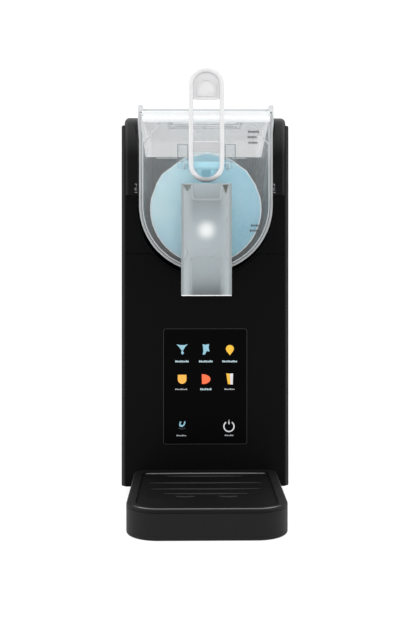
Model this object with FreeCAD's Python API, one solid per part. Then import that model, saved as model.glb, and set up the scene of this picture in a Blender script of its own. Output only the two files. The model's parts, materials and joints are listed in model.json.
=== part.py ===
import FreeCAD, Part

import math
import os

# Countertop frozen-drink dispenser.  Millimetres, +Z up, front towards -Y, origin on the table
# under the middle of the bounding box.

# Driving dimensions
WIDTH = 166.0             # over the side covers
DEPTH = 446.0             # drip tray's front to rear cover
FRONT = -73.0             # outside of the front panel
BACK = DEPTH / 2          # outside of the rear cover
FACE = 80.0               # half width of the front panel
FLOOR = 9.0               # underside of the body, which stands on its feet
SKIN = 2.5                # moulded wall
SEAM_LOW = 239.0          # front panel to cradle collar
SEAM_HIGH = 297.0         # cradle collar to cheeks
CHEEK_TOP = 374.5
CHEEK_SLOPE = -20.0       # where the cheek's top edge starts to fall to the tower
COVER_TOP = 352.0         # top of the tower behind the tank
SIDE_TOP = 338.0          # top of the side covers
GAP = 0.2                 # seam between body mouldings

AXIS_Z = 284.0            # height of the tank, drum and auger's common axis
TANK_R = 62.2
TANK_WALL = 3.0
TANK_TOP = 371.0
TANK_FRONT = -126.0
TANK_BACK = 77.0
SEAL_R = 54.0             # tank's round rear mouth
CRADLE_R = 66.6

BULKHEAD = 80.0           # front face of the upright plate behind the tank
PLATE = 4.0
DRUM_R = 32.0
DRUM_FRONT = -95.0
SHAFT_R = 5.0
FIT = 0.05                # radial clearance of running fits

VALVE_Y = -140.0          # upright axis of the valve
VALVE_BORE = 11.0
VALVE_TOP = 298.0
VALVE_BOTTOM = 260.0
PIVOT_Z = 318.0           # tap handle's pivot
PIN_R = 1.8
FINGER = 17.0             # crank finger of the handle, which lifts the plunger
SWING = 50.0              # handle's travel in degrees
PIVOT_Y = VALVE_Y - FINGER * (1 + math.cos(math.radians(SWING / 2))) / 2

PORT_R = 6.0              # opening from the tank into the valve
PORT_Z = VALVE_BOTTOM + 13
YOKE_HALF = 26.2          # carries the handle's pin
SLOT_HALF = 17.0
YOKE_TOP = 337.0
YOKE_FRONT = -161.0
VALVE_WALL_R = 14.0       # outside of the valve's tube

RING_HALF = 16.0          # ring-shaped handle
RING_BAR = 4.3            # width of its bars
RING_LOW = 302.6
RING_TOP = 405.2
PAD_LOW = 376.0           # thumb pad at its top
LUG_INSIDE = 11.8         # its two lugs on the pin

SHROUD_HALF = 22.6
SHROUD_FRONT = -165.0
SHROUD_TOP = 301.3
SHROUD_BOTTOM = 201.0

TRAY_HALF = 69.2
TRAY_HEIGHT = 26.0
TRAY_RIM = 23.4           # joint between the bin and its grate
DRAINS = ((-96, 37), (-123, 53), (-146, 50), (-163, 38))   # y and half length of its drain slots
GRATE_FLOOR = TRAY_RIM + 1.4
SHORT_DRAIN_X = 19.0
SHORT_DRAIN_Y = -174.0
SHORT_DRAIN_HALF = 8.0
DRAIN_WIDTH = 4.4

PANEL_HALF = 41.25        # touch panel
PANEL_LOW = 51.0
PANEL_HIGH = 165.0

MODULE = 1.25             # gears
GEAR_TEETH = 48
PINION_TEETH = 12
GEAR_FRONT = 102.0
GEAR_WIDTH = 8.0
GEAR_CENTRES = MODULE * (GEAR_TEETH + PINION_TEETH) / 2
MOTOR_Z = AXIS_Z - GEAR_CENTRES
BOX_FRONT = 94.0          # gearbox
BOX_BACK = 118.0

COMPRESSOR_Y = 35.0
COMPRESSOR_R = 45.0
COMPRESSOR_LOW = 24.0
COMPRESSOR_TOP = 160.0
FAN_Z = 105.0
FAN_R = 60.0
SHROUD_PLATE = 172.0      # fan shroud's front face
CONDENSER_FRONT = 178.0
CONDENSER_BACK = 203.0
CONDENSER_LOW = 22.0
CONDENSER_HIGH = 186.0
EDGE_X = 69.5             # pipes beside the condenser
DRIER_X = 60.0
DRIER_Y = 110.0
DRIER_LOW = 62.0
DRIER_HIGH = 132.0
COIL_R = 26.5
TUBE_R = 2.4
PIPE_Z = 185.0            # suction line through the bulkhead
DISCHARGE_X = 55.0        # discharge line through the bulkhead
DISCHARGE_Z = 172.0
BAIL_Y = -10.0            # pivot of the tank's lock bail
BAIL_Z = 303.0
BAIL_X = 62.5             # inside of its arms
BAIL_THICK = 1.5
BAR_Y = -113.0            # its cross bar
BAR_Z = 374.2
PIVOT_PIN_R = 3.0
TAB_HEIGHT = 6.6          # thumb tab on each arm
SCOOP_R = 13.0            # finger scoop in each cheek's front edge
SCOOP_DEPTH = 2.9
SCOOP_Z = 363.0
SCREW_PLACES = [(x, z) for x in (-70, 70) for z in (40, 190, 320)]
LID_HALF = 38.0
LID_FRONT = -98.0
LID_BACK = -26.0

V = FreeCAD.Vector
X_AXIS = V(1, 0, 0)
Y_AXIS = V(0, 1, 0)
Z_AXIS = V(0, 0, 1)


# Shape helpers

def block(x, y, z):
    """Box between two limits on each axis."""
    return Part.makeBox(x[1] - x[0], y[1] - y[0], z[1] - z[0], V(x[0], y[0], z[0]))


def rod(radius, start, end):
    """Cylinder from one point to another."""
    along = V(*end) - V(*start)
    return Part.makeCylinder(radius, along.Length, V(*start), along)


def ring(outer, inner, start, end):
    """Straight tube from one point to another."""
    return rod(outer, start, end).cut(rod(inner, start, end))


def torus(radius, tube, centre, axis):
    return Part.makeTorus(radius, tube, V(*centre), axis)


def mirror_x(shape):
    return shape.mirror(V(0, 0, 0), X_AXIS)


def edges_along(shape, axis, chosen=lambda point: True):
    """Straight edges parallel to an axis whose middle passes the test."""
    found = []
    for edge in shape.Edges:
        if not isinstance(edge.Curve, (Part.Line, Part.LineSegment)):
            continue
        line = edge.Vertexes[-1].Point - edge.Vertexes[0].Point
        if line.Length > 0.01 and line.cross(axis).Length < 1e-6 * line.Length:
            if chosen(edge.CenterOfMass):
                found.append(edge)
    return found


def rounded(shape, radius, axis, chosen=lambda point: True):
    return shape.makeFillet(radius, edges_along(shape, axis, chosen))


def extruded(points, along):
    """Prism on a closed outline of straight sides."""
    outline = Part.makePolygon([V(*point) for point in points + points[:1]])
    return Part.Face(outline).extrude(along)


def u_section(half, top, front, back):
    """Round-bottomed trough shape: half a cylinder on the tank's axis with upright sides."""
    top = max(top, AXIS_Z + 1)
    left = V(-half, front, AXIS_Z)
    right = V(half, front, AXIS_Z)
    bottom = V(0, front, AXIS_Z - half)
    edges = [
        Part.Arc(left, bottom, right).toShape(),
        Part.makeLine(right, V(half, front, top)),
        Part.makeLine(V(half, front, top), V(-half, front, top)),
        Part.makeLine(V(-half, front, top), left),
    ]
    return Part.Face(Part.Wire(edges)).extrude(V(0, back - front, 0))


def pipe(points, radius, bend):
    """Round bar along straight runs joined by tangent arcs."""
    places = [V(*point) for point in points]
    edges = []
    start = places[0]
    for here, after in zip(places[1:-1], places[2:]):
        inward = (here - start).normalize()
        outward = (after - here).normalize()
        turn = inward.getAngle(outward)
        back_off = bend * math.tan(turn / 2)
        first = here - inward * back_off
        last = here + outward * back_off
        towards = (outward - inward).normalize()
        middle = here + towards * (bend / math.cos(turn / 2) - bend)
        edges.append(Part.makeLine(start, first))
        edges.append(Part.Arc(first, middle, last).toShape())
        start = last
    edges.append(Part.makeLine(start, places[-1]))
    spine = Part.Wire(edges)
    along = (places[1] - places[0]).normalize()
    section = Part.Wire([Part.makeCircle(radius, places[0], along)])
    return spine.makePipeShell([section], True, False)


def coil(radius, tube, pitch, length, centre, axis):
    """Helical bar of six-sided section with its axis on a line through the centre."""
    helix = Part.Wire(Part.makeHelix(pitch, length, radius).Edges)
    first = helix.Edges[0]
    along = first.tangentAt(first.FirstParameter)
    across = along.cross(X_AXIS).normalize()
    corners = []
    for i in range(7):
        turn = math.pi * i / 3
        corners.append(V(radius, 0, 0) + X_AXIS * (tube * math.cos(turn)) + across * (tube * math.sin(turn)))
    shape = helix.makePipeShell([Part.makePolygon(corners)], True, True)
    shape.Placement = FreeCAD.Placement(V(*centre), FreeCAD.Rotation(Z_AXIS, axis))
    return shape


def slots(count, pitch, first, x, y, height):
    """Row of level slots, one above the other."""
    rows = [block(x, y, (first + i * pitch, first + i * pitch + height)) for i in range(count)]
    return Part.makeCompound(rows)


# Housing

def base_plate():
    plate = block((-FACE + SKIN + GAP, FACE - SKIN - GAP), (FRONT + 3 + GAP, BACK - 7), (FLOOR, FLOOR + 3))
    for x in (-1, 1):
        plate = plate.cut(slots(1, 1, FLOOR, sorted((x * 30, x * 60)), (100, 108), 3))
        plate = plate.cut(slots(1, 1, FLOOR, sorted((x * 30, x * 60)), (120, 128), 3))
    return plate


def feet():
    return Part.makeCompound([rod(9, (x, y, 0), (x, y, FLOOR)) for x in (-62, 62) for y in (-52, 192)])


def face_shell(low, high):
    """Front moulding: a 3 mm face with side returns behind it."""
    face = block((-FACE, FACE), (FRONT, FRONT + 3), (low, high))
    returns = block((-FACE, FACE), (FRONT, FRONT + 16), (low, high))
    hollow = block((-FACE + SKIN, FACE - SKIN), (FRONT + 3, FRONT + 16), (low, high))
    return face.fuse(returns.cut(hollow))


def front_panel():
    shell = face_shell(FLOOR, SEAM_LOW)
    half = PANEL_HALF + GAP
    window = block((-half, half), (FRONT, FRONT + 3), (PANEL_LOW - GAP, PANEL_HIGH + GAP))
    notch = u_section(CRADLE_R + 2 + GAP, SEAM_LOW + 1, FRONT - 1, FRONT + 20)
    shell = shell.cut(window).cut(notch).removeSplitter()
    return rounded(shell, 2.0, Z_AXIS, lambda p: p.y < FRONT + 1 and abs(p.x) > FACE - 1)


def cradle_collar():
    shell = face_shell(SEAM_LOW + GAP, SEAM_HIGH)
    trough = u_section(CRADLE_R + 2, SEAM_HIGH, FRONT, BULKHEAD)
    shell = shell.fuse(trough).cut(u_section(CRADLE_R, SEAM_HIGH + 1, FRONT - 1, BULKHEAD + 1))
    return rounded(shell.removeSplitter(), 2.0, Z_AXIS, lambda p: p.y < FRONT + 1 and abs(p.x) > FACE - 1)


def cheek():
    """Right-hand wall beside the tank, hollow from below."""
    low = SEAM_HIGH + GAP
    back = BULKHEAD - GAP
    x = CRADLE_R
    side = extruded([(x, FRONT, low), (x, FRONT, CHEEK_TOP), (x, CHEEK_SLOPE, CHEEK_TOP),
                     (x, back, COVER_TOP), (x, back, low)], V(FACE - CRADLE_R, 0, 0))
    side = rounded(side, 8.0, X_AXIS, lambda p: p.z > CHEEK_TOP - 1 and p.y < FRONT + 1)
    crest = [e for e in side.Edges if e.BoundBox.XMin > FACE - 0.1 and e.BoundBox.ZMax > CHEEK_TOP - 9
             and e.BoundBox.YMax < CHEEK_SLOPE + 1]
    side = side.makeFillet(5.0, crest)
    x += SKIN
    high = CHEEK_TOP - 7
    inner = extruded([(x, FRONT + 3, low), (x, FRONT + 3, high), (x, CHEEK_SLOPE, high),
                      (x, back - 3, COVER_TOP - 7), (x, back - 3, low)], V(FACE - CRADLE_R - 2 * SKIN, 0, 0))
    pivot = rod(PIVOT_PIN_R, (CRADLE_R - 1, BAIL_Y, BAIL_Z), (CRADLE_R + 4, BAIL_Y, BAIL_Z))
    scoop_x = CRADLE_R - SCOOP_R + SCOOP_DEPTH
    grip = rod(SCOOP_R, (scoop_x, FRONT - 1, SCOOP_Z), (scoop_x, FRONT + 2, SCOOP_Z))
    return side.cut(inner).cut(pivot).cut(grip)


def side_cover():
    """Right-hand side: a slightly bowed skin up to the cheek's edge, an inner wall and air slots."""
    start = FRONT + 3
    end = BACK - 7
    rim = WIDTH / 2 - 0.2
    high = CHEEK_TOP - 8
    inner_front = V(FACE, start, FLOOR)
    inner_back = V(FACE, end, FLOOR)
    outer_front = V(rim, start, FLOOR)
    outer_back = V(rim, end, FLOOR)
    bow = Part.Arc(outer_front, V(WIDTH / 2, (start + end) / 2, FLOOR), outer_back).toShape()
    edges = [bow, Part.makeLine(outer_back, inner_back), Part.makeLine(inner_back, inner_front),
             Part.makeLine(inner_front, outer_front)]
    skin = Part.Face(Part.Wire(edges)).extrude(V(0, 0, high - FLOOR))
    profile = extruded([(0, start - 1, FLOOR - 1), (0, start - 1, high), (0, CHEEK_SLOPE, high),
                        (0, BULKHEAD, COVER_TOP - 4), (0, end + 1, COVER_TOP - 4), (0, end + 1, FLOOR - 1)],
                       V(WIDTH, 0, 0))
    skin = skin.common(profile)
    soft = [e for e in skin.Edges if e.CenterOfMass.x > FACE + 1 and e.Length > 40
            and (e.BoundBox.ZMin > COVER_TOP - 5 or e.BoundBox.ZMax < FLOOR + 1)]
    skin = skin.makeFillet(1.8, soft)
    inner_x = (FACE - SKIN, FACE)
    low_wall = block(inner_x, (FRONT + 16 + GAP, BULKHEAD), (FLOOR, SEAM_HIGH))
    high_wall = block(inner_x, (BULKHEAD, end), (FLOOR, SIDE_TOP - GAP))
    cover = skin.fuse(low_wall).fuse(high_wall).removeSplitter()
    return cover.cut(slots(13, 9, 46, (FACE - SKIN - 1, WIDTH / 2 + 1), (96, 160), 3.4))


def top_cover():
    cover = block((-FACE, FACE), (BULKHEAD, BACK), (SIDE_TOP, COVER_TOP))
    cover = rounded(cover, 8.0, Z_AXIS, lambda p: p.y > BACK - 1)
    cover = cover.makeFillet(3.0, [e for e in cover.Edges if e.BoundBox.ZMin > COVER_TOP - 0.1])
    hollow = block((-FACE + SKIN, FACE - SKIN), (BULKHEAD + SKIN, BACK - 8), (SIDE_TOP, COVER_TOP - 3))
    return cover.cut(hollow)


def rear_cover():
    low = 12
    high = SIDE_TOP - GAP
    cover = block((-FACE, FACE), (BACK - 7 + GAP, BACK), (low, high))
    cover = rounded(cover, 5.0, Z_AXIS, lambda p: p.y > BACK - 1)
    hollow = block((-FACE + 5, FACE - 5), (BACK - 7, BACK - 3), (low + 5, high - 5))
    cover = cover.cut(hollow).cut(slots(17, 9, 34, (-56, 56), (BACK - 4, BACK + 1), 4))
    inlet = block((-14, 14), (BACK - 4, BACK + 1), (204, 225))
    holes = [rod(1.5, (x, BACK - 7, z), (x, BACK, z)) for x, z in SCREW_PLACES]
    heads = [rod(3.0, (x, BACK - 1.5, z), (x, BACK + 1, z)) for x, z in SCREW_PLACES]
    return cover.cut(inlet).cut(Part.makeCompound(holes + heads))


def power_inlet():
    """Three-pin appliance inlet, set in the rear cover."""
    flange = block((-20, 20), (BACK - 6, BACK - 3), (200, 229))
    tub = block((-13.8, 13.8), (BACK - 22, BACK - 1), (204.2, 224.8))
    socket = block((-12, 12), (BACK - 18, BACK), (206.2, 222.8))
    pins = [block((x - 1, x + 1), (BACK - 18, BACK - 5), (z, z + 4))
            for x, z in ((-7, 210), (0, 215), (7, 210))]
    return flange.fuse(tub).cut(socket).fuse(pins)


def case_screws():
    """Screws of the rear cover, their heads sunk in it."""
    screws = []
    for x, z in SCREW_PLACES:
        shank = rod(1.5, (x, BACK - 6, z), (x, BACK - 1.5, z))
        head = rod(3.0, (x, BACK - 1.5, z), (x, BACK - 0.1, z))
        screws.append(shank.fuse(head))
    return Part.makeCompound(screws)


def inlet_lead():
    """Lead from the inlet to the power board."""
    route = [(-8, BACK - 22, 214), (-8, BACK - 30, 214), (-36, 162, 206), (-50, 147, 219), (-60, 147, 219)]
    return pipe(route, 1.8, 3)


# Touch panel and electronics

def touch_panel():
    glass = block((-PANEL_HALF, PANEL_HALF), (FRONT - 0.4, FRONT + 2.6), (PANEL_LOW, PANEL_HIGH))
    return rounded(glass, 2.5, Y_AXIS)


def panel_carrier():
    x = PANEL_HALF + 5
    outer = block((-x, x), (FRONT + 3, FRONT + 6), (PANEL_LOW - 5, PANEL_HIGH + 5))
    inner = block((-x + 8, x - 8), (FRONT + 3, FRONT + 6), (PANEL_LOW + 3, PANEL_HIGH - 3))
    return outer.cut(inner)


def control_board():
    board = block((-PANEL_HALF, PANEL_HALF), (FRONT + 6, FRONT + 7.6), (PANEL_LOW, PANEL_HIGH))
    chips = [block((x, x + 14), (FRONT + 7.6, FRONT + 10), (z, z + 14))
             for x in (-32, -6, 20) for z in (66, 104)]
    return board.fuse(chips)


def power_board():
    board = block((-75, -73.4), (100, 168), (200, 290))
    parts = [block((-73.4, -60), (y, y + 18), (z, z + 22)) for y in (106, 138) for z in (208, 252)]
    return board.fuse(parts)


# Cooling circuit

def compressor():
    pot = rod(COMPRESSOR_R, (0, COMPRESSOR_Y, COMPRESSOR_LOW), (0, COMPRESSOR_Y, COMPRESSOR_TOP))
    pot = pot.makeFillet(16, [e for e in pot.Edges if e.BoundBox.ZMin > COMPRESSOR_TOP - 1])
    foot = block((-54, 54), (COMPRESSOR_Y - 40, COMPRESSOR_Y + 40), (COMPRESSOR_LOW, COMPRESSOR_LOW + 3))
    terminals = block((-12, 12), (COMPRESSOR_Y - COMPRESSOR_R - 14, COMPRESSOR_Y - 30), (80, 112))
    return pot.fuse(foot).fuse(terminals)


def compressor_mounts():
    corners = [(x, COMPRESSOR_Y + y) for x in (-46, 46) for y in (-32, 32)]
    return Part.makeCompound([rod(8, (x, y, FLOOR + 3), (x, y, COMPRESSOR_LOW)) for x, y in corners])


def condenser():
    """Finned block with open air paths from front to back."""
    low = CONDENSER_LOW
    tanks = [block((x, x + 5), (CONDENSER_FRONT, CONDENSER_BACK), (low, CONDENSER_HIGH)) for x in (-72, 67)]
    fins = [block((-67, 67), (CONDENSER_FRONT + 2, CONDENSER_BACK - 2), (low + 2 + 8 * i, low + 4 + 8 * i))
            for i in range(21)]
    heights = [low + 15 + 24 * i for i in range(7)]
    tubes = [rod(3.7, (-68, CONDENSER_FRONT + 12, z), (68, CONDENSER_FRONT + 12, z)) for z in heights]
    return tanks[0].fuse(tanks[1:] + fins + tubes)


def fan_shroud():
    plate = block((-74, 74), (SHROUD_PLATE, CONDENSER_FRONT), (14, 190))
    duct = rod(FAN_R + 6, (0, SHROUD_PLATE - 14, FAN_Z), (0, SHROUD_PLATE, FAN_Z))
    plate = plate.fuse(duct)
    hole = rod(FAN_R + 3, (0, SHROUD_PLATE - 15, FAN_Z), (0, CONDENSER_FRONT + 1, FAN_Z))
    posts = [block((x - 3, x + 3), (146, SHROUD_PLATE), (FAN_Z - 6, FAN_Z + 6)) for x in (-70, 70)]
    passage = rod(TUBE_R + 0.6, (EDGE_X, SHROUD_PLATE - 1, 30), (EDGE_X, CONDENSER_FRONT + 1, 30))
    return plate.cut(hole).cut(passage).fuse(posts)


def fan_bracket():
    bar = block((-73, 73), (143, 146), (FAN_Z - 6, FAN_Z + 6))
    return bar.cut(rod(4, (0, 142, FAN_Z), (0, 147, FAN_Z)))


def fan_motor():
    can = rod(20, (0, 118, FAN_Z), (0, 143, FAN_Z))
    return can.cut(rod(2 + FIT, (0, 130, FAN_Z), (0, 144, FAN_Z)))


def condenser_fan():
    hub = rod(15, (0, 156, FAN_Z), (0, 169, FAN_Z)).fuse(rod(2, (0, 132, FAN_Z), (0, 156, FAN_Z)))
    blades = []
    for i in range(5):
        blade = block((12, FAN_R), (-1, 1), (-15, 15))
        blade.rotate(V(0, 0, 0), X_AXIS, 68)
        blade.translate(V(0, 162.5, FAN_Z))
        blade.rotate(V(0, 0, FAN_Z), Y_AXIS, 72 * i)
        blades.append(blade)
    return hub.fuse(blades)


def refrigerant_pipes():
    """Suction, liquid and discharge lines, and the drier's outlet."""
    behind = BULKHEAD + 9
    port_y = COMPRESSOR_Y + 8
    suction = pipe([(-COIL_R, BULKHEAD, AXIS_Z), (-COIL_R, behind, AXIS_Z), (-COIL_R, behind, PIPE_Z),
                    (-COIL_R, port_y, PIPE_Z), (-COIL_R, port_y, COMPRESSOR_TOP)], TUBE_R, 5)
    liquid = pipe([(COIL_R, BULKHEAD, AXIS_Z), (COIL_R, behind, AXIS_Z), (COIL_R, behind, 200),
                   (DRIER_X, DRIER_Y, 180), (DRIER_X, DRIER_Y, DRIER_HIGH)], TUBE_R, 5)
    outlet = pipe([(DRIER_X, DRIER_Y, DRIER_LOW), (DRIER_X, DRIER_Y, 40), (EDGE_X, 150, 30),
                   (EDGE_X, CONDENSER_FRONT, 30)], TUBE_R, 5)
    discharge = pipe([(0, COMPRESSOR_Y, COMPRESSOR_TOP), (0, COMPRESSOR_Y, DISCHARGE_Z),
                      (-DISCHARGE_X, 60, DISCHARGE_Z), (-DISCHARGE_X, 120, DISCHARGE_Z), (-EDGE_X, 150, 196),
                      (-EDGE_X, 190, 196), (-EDGE_X, 190, CONDENSER_HIGH)], TUBE_R, 4)
    return Part.makeCompound([suction, liquid, outlet, discharge])


def filter_drier():
    body = rod(9, (DRIER_X, DRIER_Y, DRIER_LOW), (DRIER_X, DRIER_Y, DRIER_HIGH))
    return body.makeFillet(5, [e for e in body.Edges if isinstance(e.Curve, Part.Circle)])


# Drive and drum

def bulkhead():
    half = FACE - SKIN - GAP
    plate = block((-half, half), (BULKHEAD, BULKHEAD + PLATE), (FLOOR + 3, SIDE_TOP - GAP))
    bush = (11, 0, AXIS_Z)
    air = (30, 0, FAN_Z)
    lines = [(TUBE_R + 1, x, z) for x, z in ((-COIL_R, AXIS_Z), (COIL_R, AXIS_Z), (-COIL_R, PIPE_Z),
                                             (-DISCHARGE_X, DISCHARGE_Z))]
    holes = [rod(r, (x, BULKHEAD - 1, z), (x, BULKHEAD + PLATE + 1, z)) for r, x, z in [bush, air] + lines]
    return plate.cut(Part.makeCompound(holes))


def evaporator_drum():
    outer = rod(DRUM_R, (0, DRUM_FRONT, AXIS_Z), (0, BULKHEAD, AXIS_Z))
    flange = rod(40, (0, TANK_BACK, AXIS_Z), (0, BULKHEAD, AXIS_Z))
    hollow = rod(DRUM_R - SKIN, (0, DRUM_FRONT + 3, AXIS_Z), (0, BULKHEAD + 1, AXIS_Z))
    sleeve = rod(9, (0, DRUM_FRONT, AXIS_Z), (0, BULKHEAD, AXIS_Z))
    bore = rod(7, (0, DRUM_FRONT - 1, AXIS_Z), (0, BULKHEAD + 1, AXIS_Z))
    return outer.fuse(flange).cut(hollow).fuse(sleeve).cut(bore)


def evaporator_coil():
    """Refrigerant coil inside the drum."""
    return coil(COIL_R, TUBE_R, 20, 140, (0, -80, AXIS_Z), Y_AXIS)


def auger():
    """Helical scraper round the drum, closed by a front spider and hub."""
    pitch = 55.0
    start = -100.0
    inner = DRUM_R + 1.5
    outer = 50.0
    helix = Part.Wire(Part.makeHelix(pitch, 3 * pitch, inner).Edges)
    corners = [V(inner, 0, 0), V(outer, 0, 0), V(outer, 0, 4), V(inner, 0, 4), V(inner, 0, 0)]
    blade = helix.makePipeShell([Part.makePolygon(corners)], True, True)
    blade.Placement = FreeCAD.Placement(V(0, start + 1, AXIS_Z), FreeCAD.Rotation(Z_AXIS, Y_AXIS))
    rim = ring(outer, outer - 6, (0, start - 4, AXIS_Z), (0, start + 3, AXIS_Z))
    arms = []
    for i in range(3):
        arm = block((8, outer - 2), (start - 4, start), (-4, 4))
        arm.translate(V(0, 0, AXIS_Z))
        arm.rotate(V(0, 0, AXIS_Z), Y_AXIS, 120 * i)
        arms.append(arm)
    hub = rod(12, (0, start - 13, AXIS_Z), (0, start, AXIS_Z))
    shape = blade.fuse([rim, hub] + arms)
    return shape.cut(rod(SHAFT_R, (0, start - 10, AXIS_Z), (0, start + 1, AXIS_Z)))


def auger_shaft():
    return rod(SHAFT_R, (0, -110, AXIS_Z), (0, BOX_BACK - 4, AXIS_Z))


def shaft_seal():
    return ring(7, SHAFT_R + FIT, (0, DRUM_FRONT + 1, AXIS_Z), (0, DRUM_FRONT + 9, AXIS_Z))


def shaft_bearing():
    bush = ring(11, SHAFT_R + FIT, (0, BULKHEAD, AXIS_Z), (0, BULKHEAD + 8, AXIS_Z))
    return bush.cut(ring(12, 9, (0, BULKHEAD + PLATE, AXIS_Z), (0, BULKHEAD + 9, AXIS_Z)))


def slush():
    """Frozen drink held round the auger, with an uneven rim."""
    sides = 16
    radii = [51.6 + 0.5 * math.sin(5 * i) for i in range(sides)]
    turns = [2 * math.pi * i / sides for i in range(sides)]
    outline = [(r * math.cos(t), -119, AXIS_Z + r * math.sin(t)) for r, t in zip(radii, turns)]
    mass = extruded(outline, V(0, 185, 0))
    return mass.cut(rod(DRUM_R + 1, (0, DRUM_FRONT - 1.5, AXIS_Z), (0, 70, AXIS_Z)))


def spur_gear(teeth, y, height, centre_z, turn):
    """Straight-sided teeth, thinned for backlash."""
    pitch_r = MODULE * teeth / 2
    root = pitch_r - 1.25 * MODULE
    tip = pitch_r + 0.9 * MODULE
    body = rod(root, (0, y, centre_z), (0, y + height, centre_z))
    base_half = 0.92 * MODULE
    tip_half = 0.38 * MODULE
    shapes = []
    for i in range(teeth):
        tooth = extruded([(-base_half, y, root - 0.3), (base_half, y, root - 0.3),
                          (tip_half, y, tip), (-tip_half, y, tip)], V(0, height, 0))
        tooth.translate(V(0, 0, centre_z))
        tooth.rotate(V(0, y, centre_z), Y_AXIS, turn + 360.0 * i / teeth)
        shapes.append(tooth)
    return body.fuse(shapes)


def output_gear():
    gear = spur_gear(GEAR_TEETH, GEAR_FRONT, GEAR_WIDTH, AXIS_Z, 0)
    return gear.cut(rod(SHAFT_R, (0, GEAR_FRONT - 1, AXIS_Z), (0, GEAR_FRONT + 9, AXIS_Z)))


def motor_pinion():
    """Pinion with the motor's shaft in one piece."""
    gear = spur_gear(PINION_TEETH, GEAR_FRONT, GEAR_WIDTH, MOTOR_Z, 180.0 / PINION_TEETH)
    return gear.fuse(rod(2.5, (0, BOX_FRONT + 4, MOTOR_Z), (0, BOX_BACK + 12, MOTOR_Z)))


def gearbox():
    low = MOTOR_Z - 26
    high = AXIS_Z + 37
    case = block((-37, 37), (BOX_FRONT, BOX_BACK), (low, high))
    case = case.cut(block((-34, 34), (BOX_FRONT + 3, BOX_BACK - 3), (low + 3, high - 3)))
    shaft = rod(SHAFT_R + FIT, (0, BOX_FRONT - 1, AXIS_Z), (0, BOX_BACK - 3, AXIS_Z))
    motor = rod(2.5 + FIT, (0, BOX_FRONT + 3, MOTOR_Z), (0, BOX_BACK + 1, MOTOR_Z))
    posts = [rod(3.2, (x, BULKHEAD + PLATE, z), (x, BOX_FRONT, z))
             for x in (-33, 33) for z in (low + 8, high - 8)]
    return case.cut(shaft).cut(motor).fuse(posts)


def drive_motor():
    can = rod(24, (0, BOX_BACK, MOTOR_Z), (0, BOX_BACK + 62, MOTOR_Z))
    far = [e for e in can.Edges if e.BoundBox.YMin > BOX_BACK + 50 and isinstance(e.Curve, Part.Circle)]
    can = can.makeFillet(3, far)
    return can.cut(rod(2.5 + FIT, (0, BOX_BACK, MOTOR_Z), (0, BOX_BACK + 14, MOTOR_Z)))


# Tank and its tap

def tank():
    wall = TANK_WALL
    shell = u_section(TANK_R, TANK_TOP, TANK_FRONT, TANK_BACK)
    shell = shell.cut(u_section(TANK_R - wall, TANK_TOP - wall, TANK_FRONT + wall, TANK_BACK - wall))
    half = LID_HALF - 4
    opening = block((-half, half), (LID_FRONT + 4, LID_BACK - 4), (TANK_TOP - 5, TANK_TOP + 1))
    recess = block((-LID_HALF, LID_HALF), (LID_FRONT, LID_BACK + 5), (TANK_TOP - 1.4, TANK_TOP + 1))
    port = rod(PORT_R, (0, TANK_FRONT - 1, PORT_Z), (0, TANK_FRONT + 4, PORT_Z))
    mouth = rod(SEAL_R, (0, TANK_BACK - 5, AXIS_Z), (0, TANK_BACK + 1, AXIS_Z))
    return shell.cut(opening).cut(recess).cut(port).cut(mouth)


def tank_seal():
    """Round gasket between the tank's rear mouth and the bulkhead."""
    return ring(SEAL_R + 5, SEAL_R, (0, TANK_BACK, AXIS_Z), (0, BULKHEAD - 0.1, AXIS_Z))


def fill_lid():
    """Plate over the fill opening, with two knuckles round the hinge pin and a finger tab."""
    half = LID_HALF - 0.4
    lid = block((-half, half), (LID_FRONT + 0.4, LID_BACK - 2.4), (TANK_TOP - 1.4, TANK_TOP + 1.4))
    lid = rounded(lid, 4.0, Z_AXIS)
    barrels = [rod(1.9, (x, LID_BACK, TANK_TOP + 0.5), (x + 14, LID_BACK, TANK_TOP + 0.5)) for x in (-30, 16)]
    webs = [block((x, x + 14), (LID_BACK - 4, LID_BACK), (TANK_TOP - 1.2, TANK_TOP + 1.2)) for x in (-30, 16)]
    lid = lid.fuse(barrels + webs)
    pin = rod(0.8 + FIT, (-35, LID_BACK, TANK_TOP + 0.5), (35, LID_BACK, TANK_TOP + 0.5))
    return lid.cut(pin)


def lid_pin():
    pin = rod(0.8, (-34, LID_BACK, TANK_TOP + 0.5), (34, LID_BACK, TANK_TOP + 0.5))
    posts = [block((x, x + 3), (LID_BACK - 1.4, LID_BACK + 1.4), (TANK_TOP - 1.4, TANK_TOP + 1.6))
             for x in (-34, -1.5, 31)]
    return pin.fuse(posts)


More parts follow.
